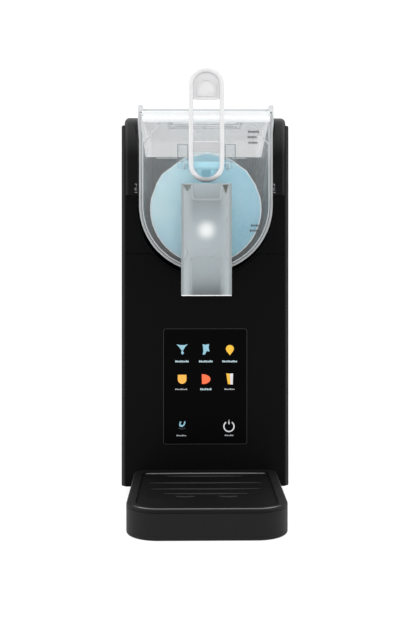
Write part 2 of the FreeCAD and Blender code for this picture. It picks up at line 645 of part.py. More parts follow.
def tap_body():
    """Valve tube on the tank's front, under a yoke that carries the handle's pin."""
    slot = (-SLOT_HALF, SLOT_HALF)
    half = VALVE_WALL_R
    yoke = block((-YOKE_HALF, YOKE_HALF), (YOKE_FRONT, TANK_FRONT), (PIVOT_Z - 3.2, YOKE_TOP))
    yoke = yoke.cut(block(slot, (YOKE_FRONT - 1, TANK_FRONT - SKIN), (PIVOT_Z - 6, YOKE_TOP - SKIN)))
    yoke = yoke.cut(block(slot, (YOKE_FRONT - 1, PIVOT_Y), (PIVOT_Z - 6, YOKE_TOP + 1)))
    back = block((-half, half), (TANK_FRONT - SKIN, TANK_FRONT), (VALVE_BOTTOM, YOKE_TOP - 1))
    tube = rod(half, (0, VALVE_Y, VALVE_BOTTOM), (0, VALVE_Y, VALVE_TOP))
    web = block((-half, half), (VALVE_Y, TANK_FRONT), (VALVE_BOTTOM, VALVE_TOP))
    shape = tube.fuse([web, back, yoke])
    pocket = rod(4.1, (-SLOT_HALF - 5.5, PIVOT_Y, PIVOT_Z), (SLOT_HALF + 5.5, PIVOT_Y, PIVOT_Z))
    port = rod(PORT_R, (0, VALVE_Y, PORT_Z), (0, TANK_FRONT + 1, PORT_Z))
    bore = rod(VALVE_BORE, (0, VALVE_Y, VALVE_BOTTOM - 1), (0, VALVE_Y, VALVE_TOP + 1))
    pin = rod(PIN_R, (-YOKE_HALF - 1, PIVOT_Y, PIVOT_Z), (YOKE_HALF + 1, PIVOT_Y, PIVOT_Z))
    return shape.cut(pocket).cut(bore).cut(port).cut(pin)


def valve_plunger():
    """Piston with a stem and a yoke that the handle's finger lifts."""
    piston = rod(VALVE_BORE - 0.3, (0, VALVE_Y, VALVE_BOTTOM + 2), (0, VALVE_Y, VALVE_BOTTOM + 24))
    for z in (VALVE_BOTTOM + 3.4, VALVE_BOTTOM + 20.6):
        piston = piston.cut(ring(12, 9, (0, VALVE_Y, z), (0, VALVE_Y, z + 2.2)))
    tip_z = PIVOT_Z - FINGER * math.sin(math.radians(SWING / 2))
    stem = rod(3, (0, VALVE_Y, VALVE_BOTTOM + 24), (0, VALVE_Y, tip_z - 4))
    yoke = block((-7, 7), (VALVE_Y - 3, VALVE_Y + 3), (tip_z - 6.5, tip_z + 6.5))
    slot = block((-4.5, 4.5), (VALVE_Y - 4, VALVE_Y + 4), (tip_z - 3.6, tip_z + 3.6))
    return piston.fuse(stem).fuse(yoke.cut(slot))


def plunger_seals():
    seats = (VALVE_BOTTOM + 3.5, VALVE_BOTTOM + 20.7)
    return Part.makeCompound([ring(VALVE_BORE - FIT, 9, (0, VALVE_Y, z), (0, VALVE_Y, z + 2)) for z in seats])


def stadium(half, low, high, y, depth):
    """Upright plate with round ends."""
    straight = block((-half, half), (y, y + depth), (low + half, high - half))
    return straight.fuse([rod(half, (0, y, z), (0, y + depth, z)) for z in (low + half, high - half)])


def tap_handle():
    """Long ring with a thumb pad, hung on the pivot pin, with a crank finger behind it."""
    front = PIVOT_Y - 7.0
    depth = 6.0
    low = RING_LOW
    high = RING_TOP
    opening = RING_HALF - RING_BAR
    across = (-opening - 0.3, opening + 0.3)
    ring_shape = stadium(RING_HALF, low, high, front, depth)
    ring_shape = ring_shape.cut(stadium(opening, low + RING_BAR, high - RING_BAR, front - 1, depth + 2))
    inside = stadium(opening + 0.3, low + RING_BAR - 0.3, high - RING_BAR + 0.3, front + 1.5, depth - 3)
    pad = inside.common(block(across, (front, front + depth), (PAD_LOW, high)))
    bar = block(across, (front, front + depth), (329.5, 339))
    hub = rod(3.6, (-RING_HALF, PIVOT_Y, PIVOT_Z), (RING_HALF, PIVOT_Y, PIVOT_Z))
    lugs = [block((x, x + RING_HALF - LUG_INSIDE), (front + 1, PIVOT_Y), (PIVOT_Z - 3.6, PIVOT_Z + 3.6))
            for x in (-RING_HALF, LUG_INSIDE)]
    finger = block((-4, 4), (PIVOT_Y, PIVOT_Y + FINGER), (PIVOT_Z - 1.8, PIVOT_Z + 1.8))
    finger = finger.fuse(rod(3, (-4, PIVOT_Y + FINGER, PIVOT_Z), (4, PIVOT_Y + FINGER, PIVOT_Z)))
    finger.rotate(V(0, PIVOT_Y, PIVOT_Z), X_AXIS, -SWING / 2)
    shape = ring_shape.fuse([pad, bar, hub, finger] + lugs)
    return shape.cut(rod(PIN_R + FIT, (-17, PIVOT_Y, PIVOT_Z), (17, PIVOT_Y, PIVOT_Z)))


def handle_pin():
    return rod(PIN_R, (-YOKE_HALF, PIVOT_Y, PIVOT_Z), (YOKE_HALF, PIVOT_Y, PIVOT_Z))


def handle_springs():
    """Torsion springs beside the hub that close the tap."""
    wire = 0.6
    coils = [torus(3.2, wire, (side * (17.8 + 1.3 * i), PIVOT_Y, PIVOT_Z), X_AXIS)
             for side in (-1, 1) for i in range(3)]
    return Part.makeCompound(coils)


def spout_shroud():
    """Rectangular chute round the valve, open above, below and against the tank."""
    x = SHROUD_HALF
    back = TANK_FRONT - 2.7
    shell = block((-x, x), (SHROUD_FRONT, back), (SHROUD_BOTTOM, SHROUD_TOP))
    shell = rounded(shell, 2.5, Z_AXIS, lambda p: p.y < SHROUD_FRONT + 1)
    inner = block((-x + 2.5, x - 2.5), (SHROUD_FRONT + 2.5, back + 1), (SHROUD_BOTTOM - 1, SHROUD_TOP + 1))
    shell = shell.cut(inner)
    apron = block((-x, x), (back - 2.2, back), (SHROUD_BOTTOM, VALVE_BOTTOM - 10))
    return shell.fuse(apron)


def lock_bail():
    """U-shaped lever over the tank: two side arms, a thumb tab on each, and a cross bar."""
    outer = BAIL_X + BAIL_THICK
    tab_low = TANK_TOP + 1.6
    arms = []
    for side in (-1, 1):
        inner = side * BAIL_X
        points = [(inner, BAIL_Y + 5, BAIL_Z - 3), (inner, BAIL_Y + 5, BAIL_Z + 5),
                  (inner, BAR_Y + 5, tab_low + 2), (inner, BAR_Y - 4, tab_low + 2),
                  (inner, BAR_Y - 4, TANK_TOP - 9), (inner, BAIL_Y - 5, BAIL_Z - 6)]
        arm = extruded(points, V(side * BAIL_THICK, 0, 0))
        boss = rod(8, (inner, BAIL_Y, BAIL_Z), (inner + side * BAIL_THICK, BAIL_Y, BAIL_Z))
        across = sorted((side * (outer - 5), side * outer))
        tab = block(across, (BAR_Y - 4, BAR_Y + 5), (tab_low, tab_low + TAB_HEIGHT))
        tab = rounded(tab, 2.0, Y_AXIS, lambda p: p.z > tab_low + TAB_HEIGHT - 1)
        arms.append(arm.fuse([boss, tab]))
    bar = block((-outer + 0.5, outer - 0.5), (BAR_Y - 3, BAR_Y + 3), (BAR_Z - 1.4, BAR_Z + 1.3))
    shape = bar.fuse(arms)
    return shape.cut(rod(PIVOT_PIN_R + FIT, (-outer - 2, BAIL_Y, BAIL_Z), (outer + 2, BAIL_Y, BAIL_Z)))


def bail_pivots():
    pins = [rod(PIVOT_PIN_R, (side * (BAIL_X - 0.3), BAIL_Y, BAIL_Z), (side * (CRADLE_R + 2), BAIL_Y, BAIL_Z))
            for side in (-1, 1)]
    return Part.makeCompound(pins)


# Drip tray

def tray_outline(low, high, inset):
    """Tray-shaped slab with large front corners and small rear ones."""
    x = TRAY_HALF - inset
    slab = block((-x, x), (-BACK + inset, FRONT - 0.5 - inset), (low, high))
    slab = rounded(slab, 28.0 - inset, Z_AXIS, lambda p: p.y < -100)
    return rounded(slab, 10.0 - inset, Z_AXIS, lambda p: p.y > -100)


def drip_tray():
    tray = tray_outline(0, TRAY_RIM - GAP, 0)
    tray = tray.makeFillet(2.0, [e for e in tray.Edges if e.BoundBox.ZMax < 0.1])
    return tray.cut(tray_outline(3, TRAY_RIM, 3))


def lens(x, y, half, width, low, high):
    """Upright prism of pointed oval outline."""
    left = V(x - half, y, low)
    right = V(x + half, y, low)
    edges = [Part.Arc(left, V(x, y - width / 2, low), right).toShape(),
             Part.Arc(right, V(x, y + width / 2, low), left).toShape()]
    return Part.Face(Part.Wire(edges)).extrude(V(0, 0, high - low))


def drip_grate():
    """Cover of the tray: a raised rim round a sunken floor with tapered drain slots."""
    plate = tray_outline(TRAY_RIM, TRAY_HEIGHT, 0)
    plate = plate.makeFillet(1.2, [e for e in plate.Edges if e.BoundBox.ZMin > TRAY_HEIGHT - 0.1])
    plate = plate.cut(tray_outline(GRATE_FLOOR, TRAY_HEIGHT + 1, 8))
    low = TRAY_RIM - 1
    high = TRAY_HEIGHT
    for y, half in DRAINS:
        plate = plate.cut(lens(0, y, half, DRAIN_WIDTH, low, high))
    for x in (-SHORT_DRAIN_X, SHORT_DRAIN_X):
        plate = plate.cut(lens(x, SHORT_DRAIN_Y, SHORT_DRAIN_HALF, DRAIN_WIDTH, low, high))
    return plate


def pair(right):
    return {"right": right, "left": mirror_x(right)}


def parts():
    cheeks = pair(cheek())
    sides = pair(side_cover())
    return {
        "base_plate": base_plate(), "feet": feet(), "front_panel": front_panel(),
        "cradle_collar": cradle_collar(), "left_cheek": cheeks["left"], "right_cheek": cheeks["right"],
        "left_side_cover": sides["left"], "right_side_cover": sides["right"], "top_cover": top_cover(),
        "rear_cover": rear_cover(), "power_inlet": power_inlet(), "case_screws": case_screws(),
        "touch_panel": touch_panel(), "panel_carrier": panel_carrier(), "control_board": control_board(),
        "power_board": power_board(), "inlet_lead": inlet_lead(),
        "compressor": compressor(), "compressor_mounts": compressor_mounts(),
        "condenser": condenser(), "fan_shroud": fan_shroud(), "fan_bracket": fan_bracket(),
        "fan_motor": fan_motor(), "condenser_fan": condenser_fan(), "refrigerant_pipes": refrigerant_pipes(),
        "filter_drier": filter_drier(), "bulkhead": bulkhead(), "evaporator_drum": evaporator_drum(),
        "evaporator_coil": evaporator_coil(), "auger": auger(), "auger_shaft": auger_shaft(),
        "shaft_seal": shaft_seal(), "shaft_bearing": shaft_bearing(), "slush": slush(),
        "output_gear": output_gear(), "motor_pinion": motor_pinion(), "gearbox": gearbox(),
        "drive_motor": drive_motor(), "tank": tank(), "tank_seal": tank_seal(), "fill_lid": fill_lid(),
        "lid_pin": lid_pin(), "tap_body": tap_body(), "valve_plunger": valve_plunger(),
        "plunger_seals": plunger_seals(), "tap_handle": tap_handle(), "handle_pin": handle_pin(),
        "handle_springs": handle_springs(), "spout_shroud": spout_shroud(), "lock_bail": lock_bail(),
        "bail_pivots": bail_pivots(), "drip_tray": drip_tray(), "drip_grate": drip_grate(),
    }


def main():
    os.makedirs("parts", exist_ok=True)
    for name, shape in parts().items():
        shape.exportStep("parts/%s.step" % name)
        box = shape.BoundBox
        print("%-18s valid %s solids %d  x %.1f %.1f" % (
            name, shape.isValid(), len(shape.Solids), box.XMin, box.XMax),
            " y %.1f %.1f  z %.1f %.1f" % (box.YMin, box.YMax, box.ZMin, box.ZMax))


main()
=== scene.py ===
import json
import math

import bmesh
import bpy
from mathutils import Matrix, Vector, noise


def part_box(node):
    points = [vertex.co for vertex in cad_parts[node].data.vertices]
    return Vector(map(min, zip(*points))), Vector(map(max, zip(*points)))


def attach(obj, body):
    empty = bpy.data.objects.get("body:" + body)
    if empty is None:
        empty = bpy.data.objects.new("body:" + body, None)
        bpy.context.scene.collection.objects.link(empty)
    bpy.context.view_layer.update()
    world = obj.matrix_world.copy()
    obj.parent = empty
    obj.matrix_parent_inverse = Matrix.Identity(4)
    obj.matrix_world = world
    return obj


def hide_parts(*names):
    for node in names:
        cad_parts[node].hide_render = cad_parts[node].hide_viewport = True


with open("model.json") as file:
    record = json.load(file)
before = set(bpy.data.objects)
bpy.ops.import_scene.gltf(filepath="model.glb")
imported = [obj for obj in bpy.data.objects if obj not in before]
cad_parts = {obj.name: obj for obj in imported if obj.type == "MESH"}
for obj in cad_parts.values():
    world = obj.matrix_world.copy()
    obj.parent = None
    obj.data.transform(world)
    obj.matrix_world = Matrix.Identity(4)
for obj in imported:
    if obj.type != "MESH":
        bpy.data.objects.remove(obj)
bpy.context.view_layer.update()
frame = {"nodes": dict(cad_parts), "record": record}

MM = 0.001


# Places read from the frame

PANEL_LOW, PANEL_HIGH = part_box("touch_panel")
FACE_LOW, FACE_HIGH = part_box("front_panel")
TANK_LOW, TANK_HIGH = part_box("tank")
SLUSH_LOW, SLUSH_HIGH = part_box("slush")
SHROUD_LOW, SHROUD_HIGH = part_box("spout_shroud")
HANDLE_LOW, HANDLE_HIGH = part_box("tap_handle")
PIN_LOW, PIN_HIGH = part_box("handle_pin")
DRUM_LOW, DRUM_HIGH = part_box("evaporator_drum")
GRATE_LOW, GRATE_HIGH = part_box("drip_grate")
COVER_LOW, COVER_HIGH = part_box("top_cover")
LID_LOW, LID_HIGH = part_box("fill_lid")
TAP_LOW, TAP_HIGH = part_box("tap_body")

FRONT = FACE_LOW.y
TANK_FRONT = TANK_LOW.y
AXIS_Z = (DRUM_LOW.z + DRUM_HIGH.z) / 2
TANK_R = TANK_HIGH.x
PIVOT_Y = (PIN_LOW.y + PIN_HIGH.y) / 2
PIVOT_Z = (PIN_LOW.z + PIN_HIGH.z) / 2
GRATE_FLOOR_Z = GRATE_LOW.z + 1.4 * MM

# Where one moulding changes its finish or its painted light and shade
PAINTED_GLOW_Z = 259.7 * MM            # middle of the painted glow on the chute's front wall, level with the valve's end behind it
PAINTED_GLOW_RADIUS = 12.5 * MM
PAINTED_SHADE_HEIGHT = 7 * MM          # painted shade on the foot of the ring handle
CHEEK_FADE_LOW = 337 * MM      # painted highlight on the cheeks, growing towards their tops
CHEEK_FADE_HIGH = 373 * MM
SIDE_HIGHLIGHT_DEPTH = 12 * MM
YOKE_SLOT = 16.9 * MM          # half the clear middle of the tap's yoke
YOKE_FOOT = 321 * MM
GRATE_RIM_HEIGHT = 0.7 * MM
TANK_WALL = 3.2 * MM
GRATE_GAP = 0.9 * MM           # from the lifted grate to the touch window


# Materials

def node_material(name):
    """An empty material with its Principled shader, and a maker of nodes in it."""
    material = bpy.data.materials.new(name)
    material.use_nodes = True
    nodes = material.node_tree.nodes
    shader = nodes["Principled BSDF"]

    def add(kind, **settings):
        node = nodes.new(kind)
        for key, value in settings.items():
            setattr(node, key, value)
        return node

    return material, shader, add, material.node_tree.links


def object_noise(add, links, scale, detail=3.0, roughness=0.55):
    """Noise in the piece's own coordinates."""
    place = add("ShaderNodeTexCoord")
    texture = add("ShaderNodeTexNoise")
    texture.inputs["Scale"].default_value = scale
    texture.inputs["Detail"].default_value = detail
    texture.inputs["Roughness"].default_value = roughness
    links.new(place.outputs["Object"], texture.inputs["Vector"])
    return texture


def ramp(add, links, source, low, high, start=0.3, end=0.7):
    """Maps a factor to a span of numbers."""
    node = add("ShaderNodeMapRange")
    node.inputs["From Min"].default_value = start
    node.inputs["From Max"].default_value = end
    node.inputs["To Min"].default_value = low
    node.inputs["To Max"].default_value = high
    links.new(source, node.inputs["Value"])
    return node.outputs["Result"]


def blend_colours(add, links, factor, first, second):
    node = add("ShaderNodeMix", data_type="RGBA")
    node.inputs["A"].default_value = (*first, 1)
    node.inputs["B"].default_value = (*second, 1)
    links.new(factor, node.inputs["Factor"])
    return node.outputs["Result"]


def bump(add, links, shader, height, strength, distance):
    node = add("ShaderNodeBump")
    node.inputs["Strength"].default_value = strength
    node.inputs["Distance"].default_value = distance
    links.new(height, node.inputs["Height"])
    links.new(node.outputs["Normal"], shader.inputs["Normal"])


def moulded(name, colour, rough, grain=1400, depth=0.00003, specular=0.4, metallic=0.0, spread=0.15):
    """Moulded plastic, rubber or paint: fine grain, slight mottling of colour and gloss."""
    material, shader, add, links = node_material(name)
    fine = object_noise(add, links, grain, 2)
    broad = object_noise(add, links, 22, 3)
    darker = tuple(c * (1 - spread) for c in colour)
    lighter = tuple(min(1.0, c * (1 + spread)) for c in colour)
    links.new(blend_colours(add, links, broad.outputs["Fac"], darker, lighter), shader.inputs["Base Color"])
    links.new(ramp(add, links, broad.outputs["Fac"], rough - 0.05, rough + 0.05), shader.inputs["Roughness"])
    shader.inputs["Specular IOR Level"].default_value = specular
    shader.inputs["Metallic"].default_value = metallic
    bump(add, links, shader, fine.outputs["Fac"], 0.25, depth)
    return material


def metal(name, colour, rough, along=(1, 1, 40)):
    """Brushed or turned metal: long streaks in gloss and height."""
    material, shader, add, links = node_material(name)
    place = add("ShaderNodeTexCoord")
    stretch = add("ShaderNodeMapping")
    stretch.inputs["Scale"].default_value = along
    streaks = add("ShaderNodeTexNoise")
    streaks.inputs["Scale"].default_value = 60
    streaks.inputs["Detail"].default_value = 4
    links.new(place.outputs["Object"], stretch.inputs["Vector"])
    links.new(stretch.outputs["Vector"], streaks.inputs["Vector"])
    darker = tuple(c * 0.85 for c in colour)
    links.new(blend_colours(add, links, streaks.outputs["Fac"], darker, colour), shader.inputs["Base Color"])
    links.new(ramp(add, links, streaks.outputs["Fac"], rough - 0.08, rough + 0.1), shader.inputs["Roughness"])
    shader.inputs["Metallic"].default_value = 1.0
    bump(add, links, shader, streaks.outputs["Fac"], 0.15, 0.00002)
    return material


def frosted(name, face, edge, clear, dense, rough, grain=900, depth=0.00004, haze=0.12, specular=0.5):
    """Translucent moulding: lets light through where it is seen square on, denser and whiter at its edges."""
    material, shader, add, links = node_material(name)
    angle = add("ShaderNodeLayerWeight")
    angle.inputs["Blend"].default_value = 0.35
    cloud = object_noise(add, links, 38, 3)
    fine = object_noise(add, links, grain, 2)
    links.new(blend_colours(add, links, angle.outputs["Facing"], face, edge), shader.inputs["Base Color"])
    veil = add("ShaderNodeMath", operation="MULTIPLY_ADD")
    veil.inputs[1].default_value = haze
    links.new(cloud.outputs["Fac"], veil.inputs[0])
    links.new(ramp(add, links, angle.outputs["Facing"], clear, dense, 0.0, 0.9), veil.inputs[2])
    links.new(veil.outputs["Value"], shader.inputs["Alpha"])
    links.new(ramp(add, links, cloud.outputs["Fac"], rough - 0.05, rough + 0.08), shader.inputs["Roughness"])
    shader.inputs["Specular IOR Level"].default_value = specular
    bump(add, links, shader, fine.outputs["Fac"], 0.2, depth)
    return material


def paint_shade_below(material, low, high, tint):
    """Paints shade on a moulding: tints it between two heights, fading out upwards."""
    nodes = material.node_tree.nodes
    links = material.node_tree.links
    shader = nodes["Principled BSDF"]
    place = nodes.new("ShaderNodeTexCoord")
    parts = nodes.new("ShaderNodeSeparateXYZ")
    fade = nodes.new("ShaderNodeMapRange")
    fade.inputs["From Min"].default_value = low
    fade.inputs["From Max"].default_value = high
    fade.inputs["To Min"].default_value = 1.0
    fade.inputs["To Max"].default_value = 0.0
    mixed = nodes.new("ShaderNodeMix")
    mixed.data_type = "RGBA"
    mixed.inputs["B"].default_value = (*tint, 1)
    links.new(place.outputs["Object"], parts.inputs["Vector"])
    links.new(parts.outputs["Z"], fade.inputs["Value"])
    links.new(fade.outputs["Result"], mixed.inputs["Factor"])
    links.new(shader.inputs["Base Color"].links[0].from_socket, mixed.inputs["A"])
    links.new(mixed.outputs["Result"], shader.inputs["Base Color"])
    return material


def paint_glow_emission(material, tint, strength):
    """Paints a glow in the drink's tint onto a moulding, standing in for the light of the pale drink round
    it.
    """
    shader = material.node_tree.nodes["Principled BSDF"]
    shader.inputs["Emission Color"].default_value = (*tint, 1)
    shader.inputs["Emission Strength"].default_value = strength
    return material


def frosted_chute_painted_light(name, low, high, half, painted_glow_place, painted_glow_radius):
    """Frosted chute wall with painted shade, darker at its foot and in a band below its top, paler towards
    its sides and darker along its outer edges, with a pale painted glow patch in front of the valve's end."""
    material, shader, add, links = node_material(name)
    place = add("ShaderNodeTexCoord")
    parts = add("ShaderNodeSeparateXYZ")
    links.new(place.outputs["Object"], parts.inputs["Vector"])
    up = ramp(add, links, parts.outputs["Z"], 0.0, 1.0, low, high)
    # painted light and shade from the chute's foot to its top
    tone = add("ShaderNodeValToRGB")
    tone.color_ramp.interpolation = "B_SPLINE"
    stops = [(0.0, 0.13), (0.05, 0.16), (0.12, 0.28), (0.2, 0.35), (0.36, 0.41), (0.44, 0.42), (0.58, 0.43),
             (0.68, 0.4), (0.82, 0.27), (0.9, 0.33), (1.0, 0.42)]
    for position, _ in stops[1:-1]:
        tone.color_ramp.elements.new(position)
    for element, (position, shade) in zip(tone.color_ramp.elements, stops):
        element.position = position
        element.color = (shade * 0.88, shade, shade * 1.05, 1)
    links.new(up, tone.inputs["Fac"])
    across = add("ShaderNodeMath", operation="ABSOLUTE")
    links.new(parts.outputs["X"], across.inputs[0])
    side = ramp(add, links, across.outputs["Value"], 0.0, 1.0, half * 0.5, half * 0.78)
    wall = add("ShaderNodeMix", data_type="RGBA")
    wall.inputs["B"].default_value = (0.4, 0.445, 0.465, 1)
    links.new(side, wall.inputs["Factor"])
    links.new(tone.outputs["Color"], wall.inputs["A"])
    edge = ramp(add, links, across.outputs["Value"], 0.0, 0.75, half * 0.86, half * 0.97)
    rim = add("ShaderNodeMix", data_type="RGBA")
    rim.inputs["B"].default_value = (0.16, 0.185, 0.19, 1)
    links.new(edge, rim.inputs["Factor"])
    links.new(wall.outputs["Result"], rim.inputs["A"])
    # pale painted glow patch on the front wall, standing in for a highlight
    distance = add("ShaderNodeVectorMath", operation="DISTANCE")
    distance.inputs[1].default_value = painted_glow_place
    links.new(place.outputs["Object"], distance.inputs[0])
    painted_glow_patch = add("ShaderNodeMapRange", interpolation_type="SMOOTHERSTEP")
    painted_glow_patch.inputs["From Min"].default_value = 0.0
    painted_glow_patch.inputs["From Max"].default_value = painted_glow_radius
    painted_glow_patch.inputs["To Min"].default_value = 1.0
    painted_glow_patch.inputs["To Max"].default_value = 0.0
    links.new(distance.outputs["Value"], painted_glow_patch.inputs["Value"])
    mixed = add("ShaderNodeMix", data_type="RGBA")
    mixed.inputs["B"].default_value = (0.8, 0.82, 0.82, 1)
    links.new(painted_glow_patch.outputs["Result"], mixed.inputs["Factor"])
    links.new(rim.outputs["Result"], mixed.inputs["A"])
    links.new(mixed.outputs["Result"], shader.inputs["Base Color"])
    cloud = object_noise(add, links, 38, 3)
    fine = object_noise(add, links, 900, 2)
    links.new(ramp(add, links, cloud.outputs["Fac"], 0.8, 0.9), shader.inputs["Alpha"])
    links.new(ramp(add, links, cloud.outputs["Fac"], 0.3, 0.43), shader.inputs["Roughness"])
    bump(add, links, shader, fine.outputs["Fac"], 0.2, 0.00004)
    return material


def glowing(name, colour, strength):
    """Lit symbol behind the touch window, slightly uneven as a printed light guide is."""
    material, shader, add, links = node_material(name)
    cloud = object_noise(add, links, 260, 2)
    dim = tuple(c * 0.75 for c in colour)
    shade = blend_colours(add, links, cloud.outputs["Fac"], dim, colour)
    links.new(shade, shader.inputs["Base Color"])
    links.new(shade, shader.inputs["Emission Color"])
    shader.inputs["Emission Strength"].default_value = strength
    shader.inputs["Roughness"].default_value = 0.4
    return material


def window_black():
    """Gloss black touch window with faint smears in its gloss."""
    material, shader, add, links = node_material("window_black")
    smear = object_noise(add, links, 14, 5)
    black = blend_colours(add, links, smear.outputs["Fac"], (0.0012, 0.0012, 0.0014), (0.002, 0.002, 0.0022))
    links.new(black, shader.inputs["Base Color"])
    links.new(ramp(add, links, smear.outputs["Fac"], 0.22, 0.34), shader.inputs["Roughness"])
    shader.inputs["Specular IOR Level"].default_value = 0.02
    return material


def slush_ice():
    """Granular frozen drink: pale blue ice grains with whiter frost between them."""
    material, shader, add, links = node_material("slush_ice")
    place = add("ShaderNodeTexCoord")
    grains = add("ShaderNodeTexVoronoi")
    grains.inputs["Scale"].default_value = 420
    links.new(place.outputs["Object"], grains.inputs["Vector"])
    cloud = object_noise(add, links, 26, 4, 0.6)
    fine = object_noise(add, links, 320, 4, 0.65)
    across = add("ShaderNodeSeparateXYZ")
    links.new(place.outputs["Object"], across.inputs["Vector"])
    side = ramp(add, links, across.outputs["X"], 0.0, 1.0, -0.03, 0.05)
    down = ramp(add, links, across.outputs["Z"], 0.25, 0.0, AXIS_Z - 0.05, AXIS_Z)
    slope = add("ShaderNodeMath", operation="MULTIPLY_ADD")
    slope.inputs[1].default_value = 0.5
    links.new(side, slope.inputs[0])
    links.new(down, slope.inputs[2])
    mixed = add("ShaderNodeMath", operation="MULTIPLY_ADD")
    mixed.inputs[1].default_value = 0.3
    links.new(ramp(add, links, cloud.outputs["Fac"], 0.0, 1.0, 0.3, 0.75), mixed.inputs[0])
    links.new(slope.outputs["Value"], mixed.inputs[2])
    body = blend_colours(add, links, mixed.outputs["Value"], (0.7, 0.93, 1.0), (0.12, 0.51, 0.68))
    frost = add("ShaderNodeMix", data_type="RGBA")
    frost.inputs["B"].default_value = (0.85, 0.94, 0.97, 1)
    links.new(ramp(add, links, fine.outputs["Fac"], 0.0, 0.2, 0.45, 0.75), frost.inputs["Factor"])
    links.new(body, frost.inputs["A"])
    links.new(frost.outputs["Result"], shader.inputs["Base Color"])
    shader.inputs["Roughness"].default_value = 0.45
    shader.inputs["Subsurface Weight"].default_value = 0.35
    shader.inputs["Subsurface Radius"].default_value = (0.3, 0.6, 0.8)
    shader.inputs["Subsurface Scale"].default_value = 0.006
    height = add("ShaderNodeMath", operation="ADD")
    links.new(grains.outputs["Distance"], height.inputs[0])
    links.new(fine.outputs["Fac"], height.inputs[1])
    bump(add, links, shader, height.outputs["Value"], 0.3, 0.0003)
    return material


HOUSING_BLACK = (0.0026, 0.0026, 0.0028)
DRINK_TINT = (0.44, 0.69, 0.77)

MATERIALS = {
    "black_housing": moulded("black_housing", HOUSING_BLACK, 0.5, specular=0.05),
    "black_side": moulded("black_side", (0.0045, 0.0045, 0.0048), 0.42, specular=0.16),
    "tray_black": moulded("tray_black", (0.0065, 0.0065, 0.007), 0.55, specular=0.16),
    "panel_glass": window_black(),
    "inlet_plastic": moulded("inlet_plastic", (0.02, 0.02, 0.021), 0.45),
    "circuit_board": moulded("circuit_board", (0.02, 0.13, 0.05), 0.4, grain=500, spread=0.3),
    "chassis_steel": metal("chassis_steel", (0.55, 0.56, 0.58), 0.38),
    "screw_steel": metal("screw_steel", (0.3, 0.3, 0.31), 0.35, (1, 1, 1)),
    "drum_steel": metal("drum_steel", (0.72, 0.73, 0.75), 0.25, (1, 40, 1)),
    "fin_aluminium": metal("fin_aluminium", (0.76, 0.77, 0.78), 0.35, (40, 1, 1)),
    "compressor_paint": moulded("compressor_paint", (0.012, 0.012, 0.013), 0.3, grain=300, depth=0.0001,
                                specular=0.5),
    "fan_plastic": moulded("fan_plastic", (0.05, 0.05, 0.053), 0.45),
    "copper": metal("copper", (0.78, 0.42, 0.27), 0.3, (1, 1, 1)),
    "bush_brass": metal("bush_brass", (0.74, 0.56, 0.26), 0.4, (1, 1, 1)),
    "gear_plastic": moulded("gear_plastic", (0.78, 0.75, 0.66), 0.4),
    "bulkhead_plastic": moulded("bulkhead_plastic", (0.02, 0.021, 0.022), 0.5),
    "auger_plastic": moulded("auger_plastic", (0.7, 0.76, 0.79), 0.3, specular=0.5),
    "slush_ice": slush_ice(),
    "tank_clear": frosted("tank_clear", (0.3, 0.315, 0.32), (0.42, 0.435, 0.44), 0.3, 0.34, 0.3,
                          haze=0.03, specular=0.3),
    "tap_frost": frosted("tap_frost", (0.3, 0.32, 0.33), (0.42, 0.44, 0.45), 0.2, 0.45, 0.35,
                         haze=0.05, specular=0.3),
    # painted shade: the ring's edges darker than its face, and a darker foot
    "handle_frost": paint_shade_below(
        frosted("handle_frost", (0.76, 0.755, 0.765), (0.26, 0.265, 0.275), 0.72, 0.95, 0.3, specular=0.25),
        HANDLE_LOW.z, HANDLE_LOW.z + PAINTED_SHADE_HEIGHT, (0.2, 0.2, 0.2)),
    # the chute takes painted shade and a painted glow patch
    "spout_frost": frosted_chute_painted_light("spout_frost", SHROUD_LOW.z, SHROUD_HIGH.z, SHROUD_HIGH.x,
                               (0, SHROUD_LOW.y, PAINTED_GLOW_Z), PAINTED_GLOW_RADIUS),
    "bail_grey": frosted("bail_grey", (0.7, 0.71, 0.72), (0.6, 0.62, 0.63), 0.6, 0.9, 0.35, specular=0.3),
    "seal_rubber": moulded("seal_rubber", (0.2, 0.2, 0.21), 0.6),
    "rubber_foot": moulded("rubber_foot", (0.015, 0.015, 0.015), 0.75),
}

# Finishes of details within a slot

# painted highlight: lighter black at the cheeks' tops, fading to the housing's black below
CHEEK_PAINTED_HIGHLIGHT = paint_shade_below(moulded("cheek_painted_highlight", (0.042, 0.042, 0.043), 0.45, specular=0.12),
                           CHEEK_FADE_LOW, CHEEK_FADE_HIGH, HOUSING_BLACK)
# painted highlight: lighter black on the side covers' front faces
SIDE_EDGE_HIGHLIGHT = moulded("side_edge_painted_highlight", (0.012, 0.012, 0.0125), 0.4, specular=0.4)
FRAME_LINE = moulded("frame_line", (0.022, 0.022, 0.024), 0.45)
MARK_GREY = moulded("mark_grey", (0.05, 0.055, 0.06), 0.6)
MARK_WHITE = moulded("mark_white", (0.36, 0.36, 0.37), 0.6)
# bright colour standing in for highlights on the grate's edges
TRAY_HIGHLIGHT = moulded("tray_painted_highlight", (0.13, 0.13, 0.135), 0.35, specular=0.6)
# lighter black for the grate's raised lips: real ridges with a painted highlight
TRAY_LIP_HIGHLIGHT = moulded("tray_lip_highlight", (0.016, 0.016, 0.017), 0.45, specular=0.3)
GRATE_RIM = moulded("grate_rim", (0.0046, 0.0046, 0.0049), 0.55, specular=0.12)
GRATE_FLOOR = moulded("grate_floor", (0.003, 0.003, 0.0033), 0.6, specular=0.08)

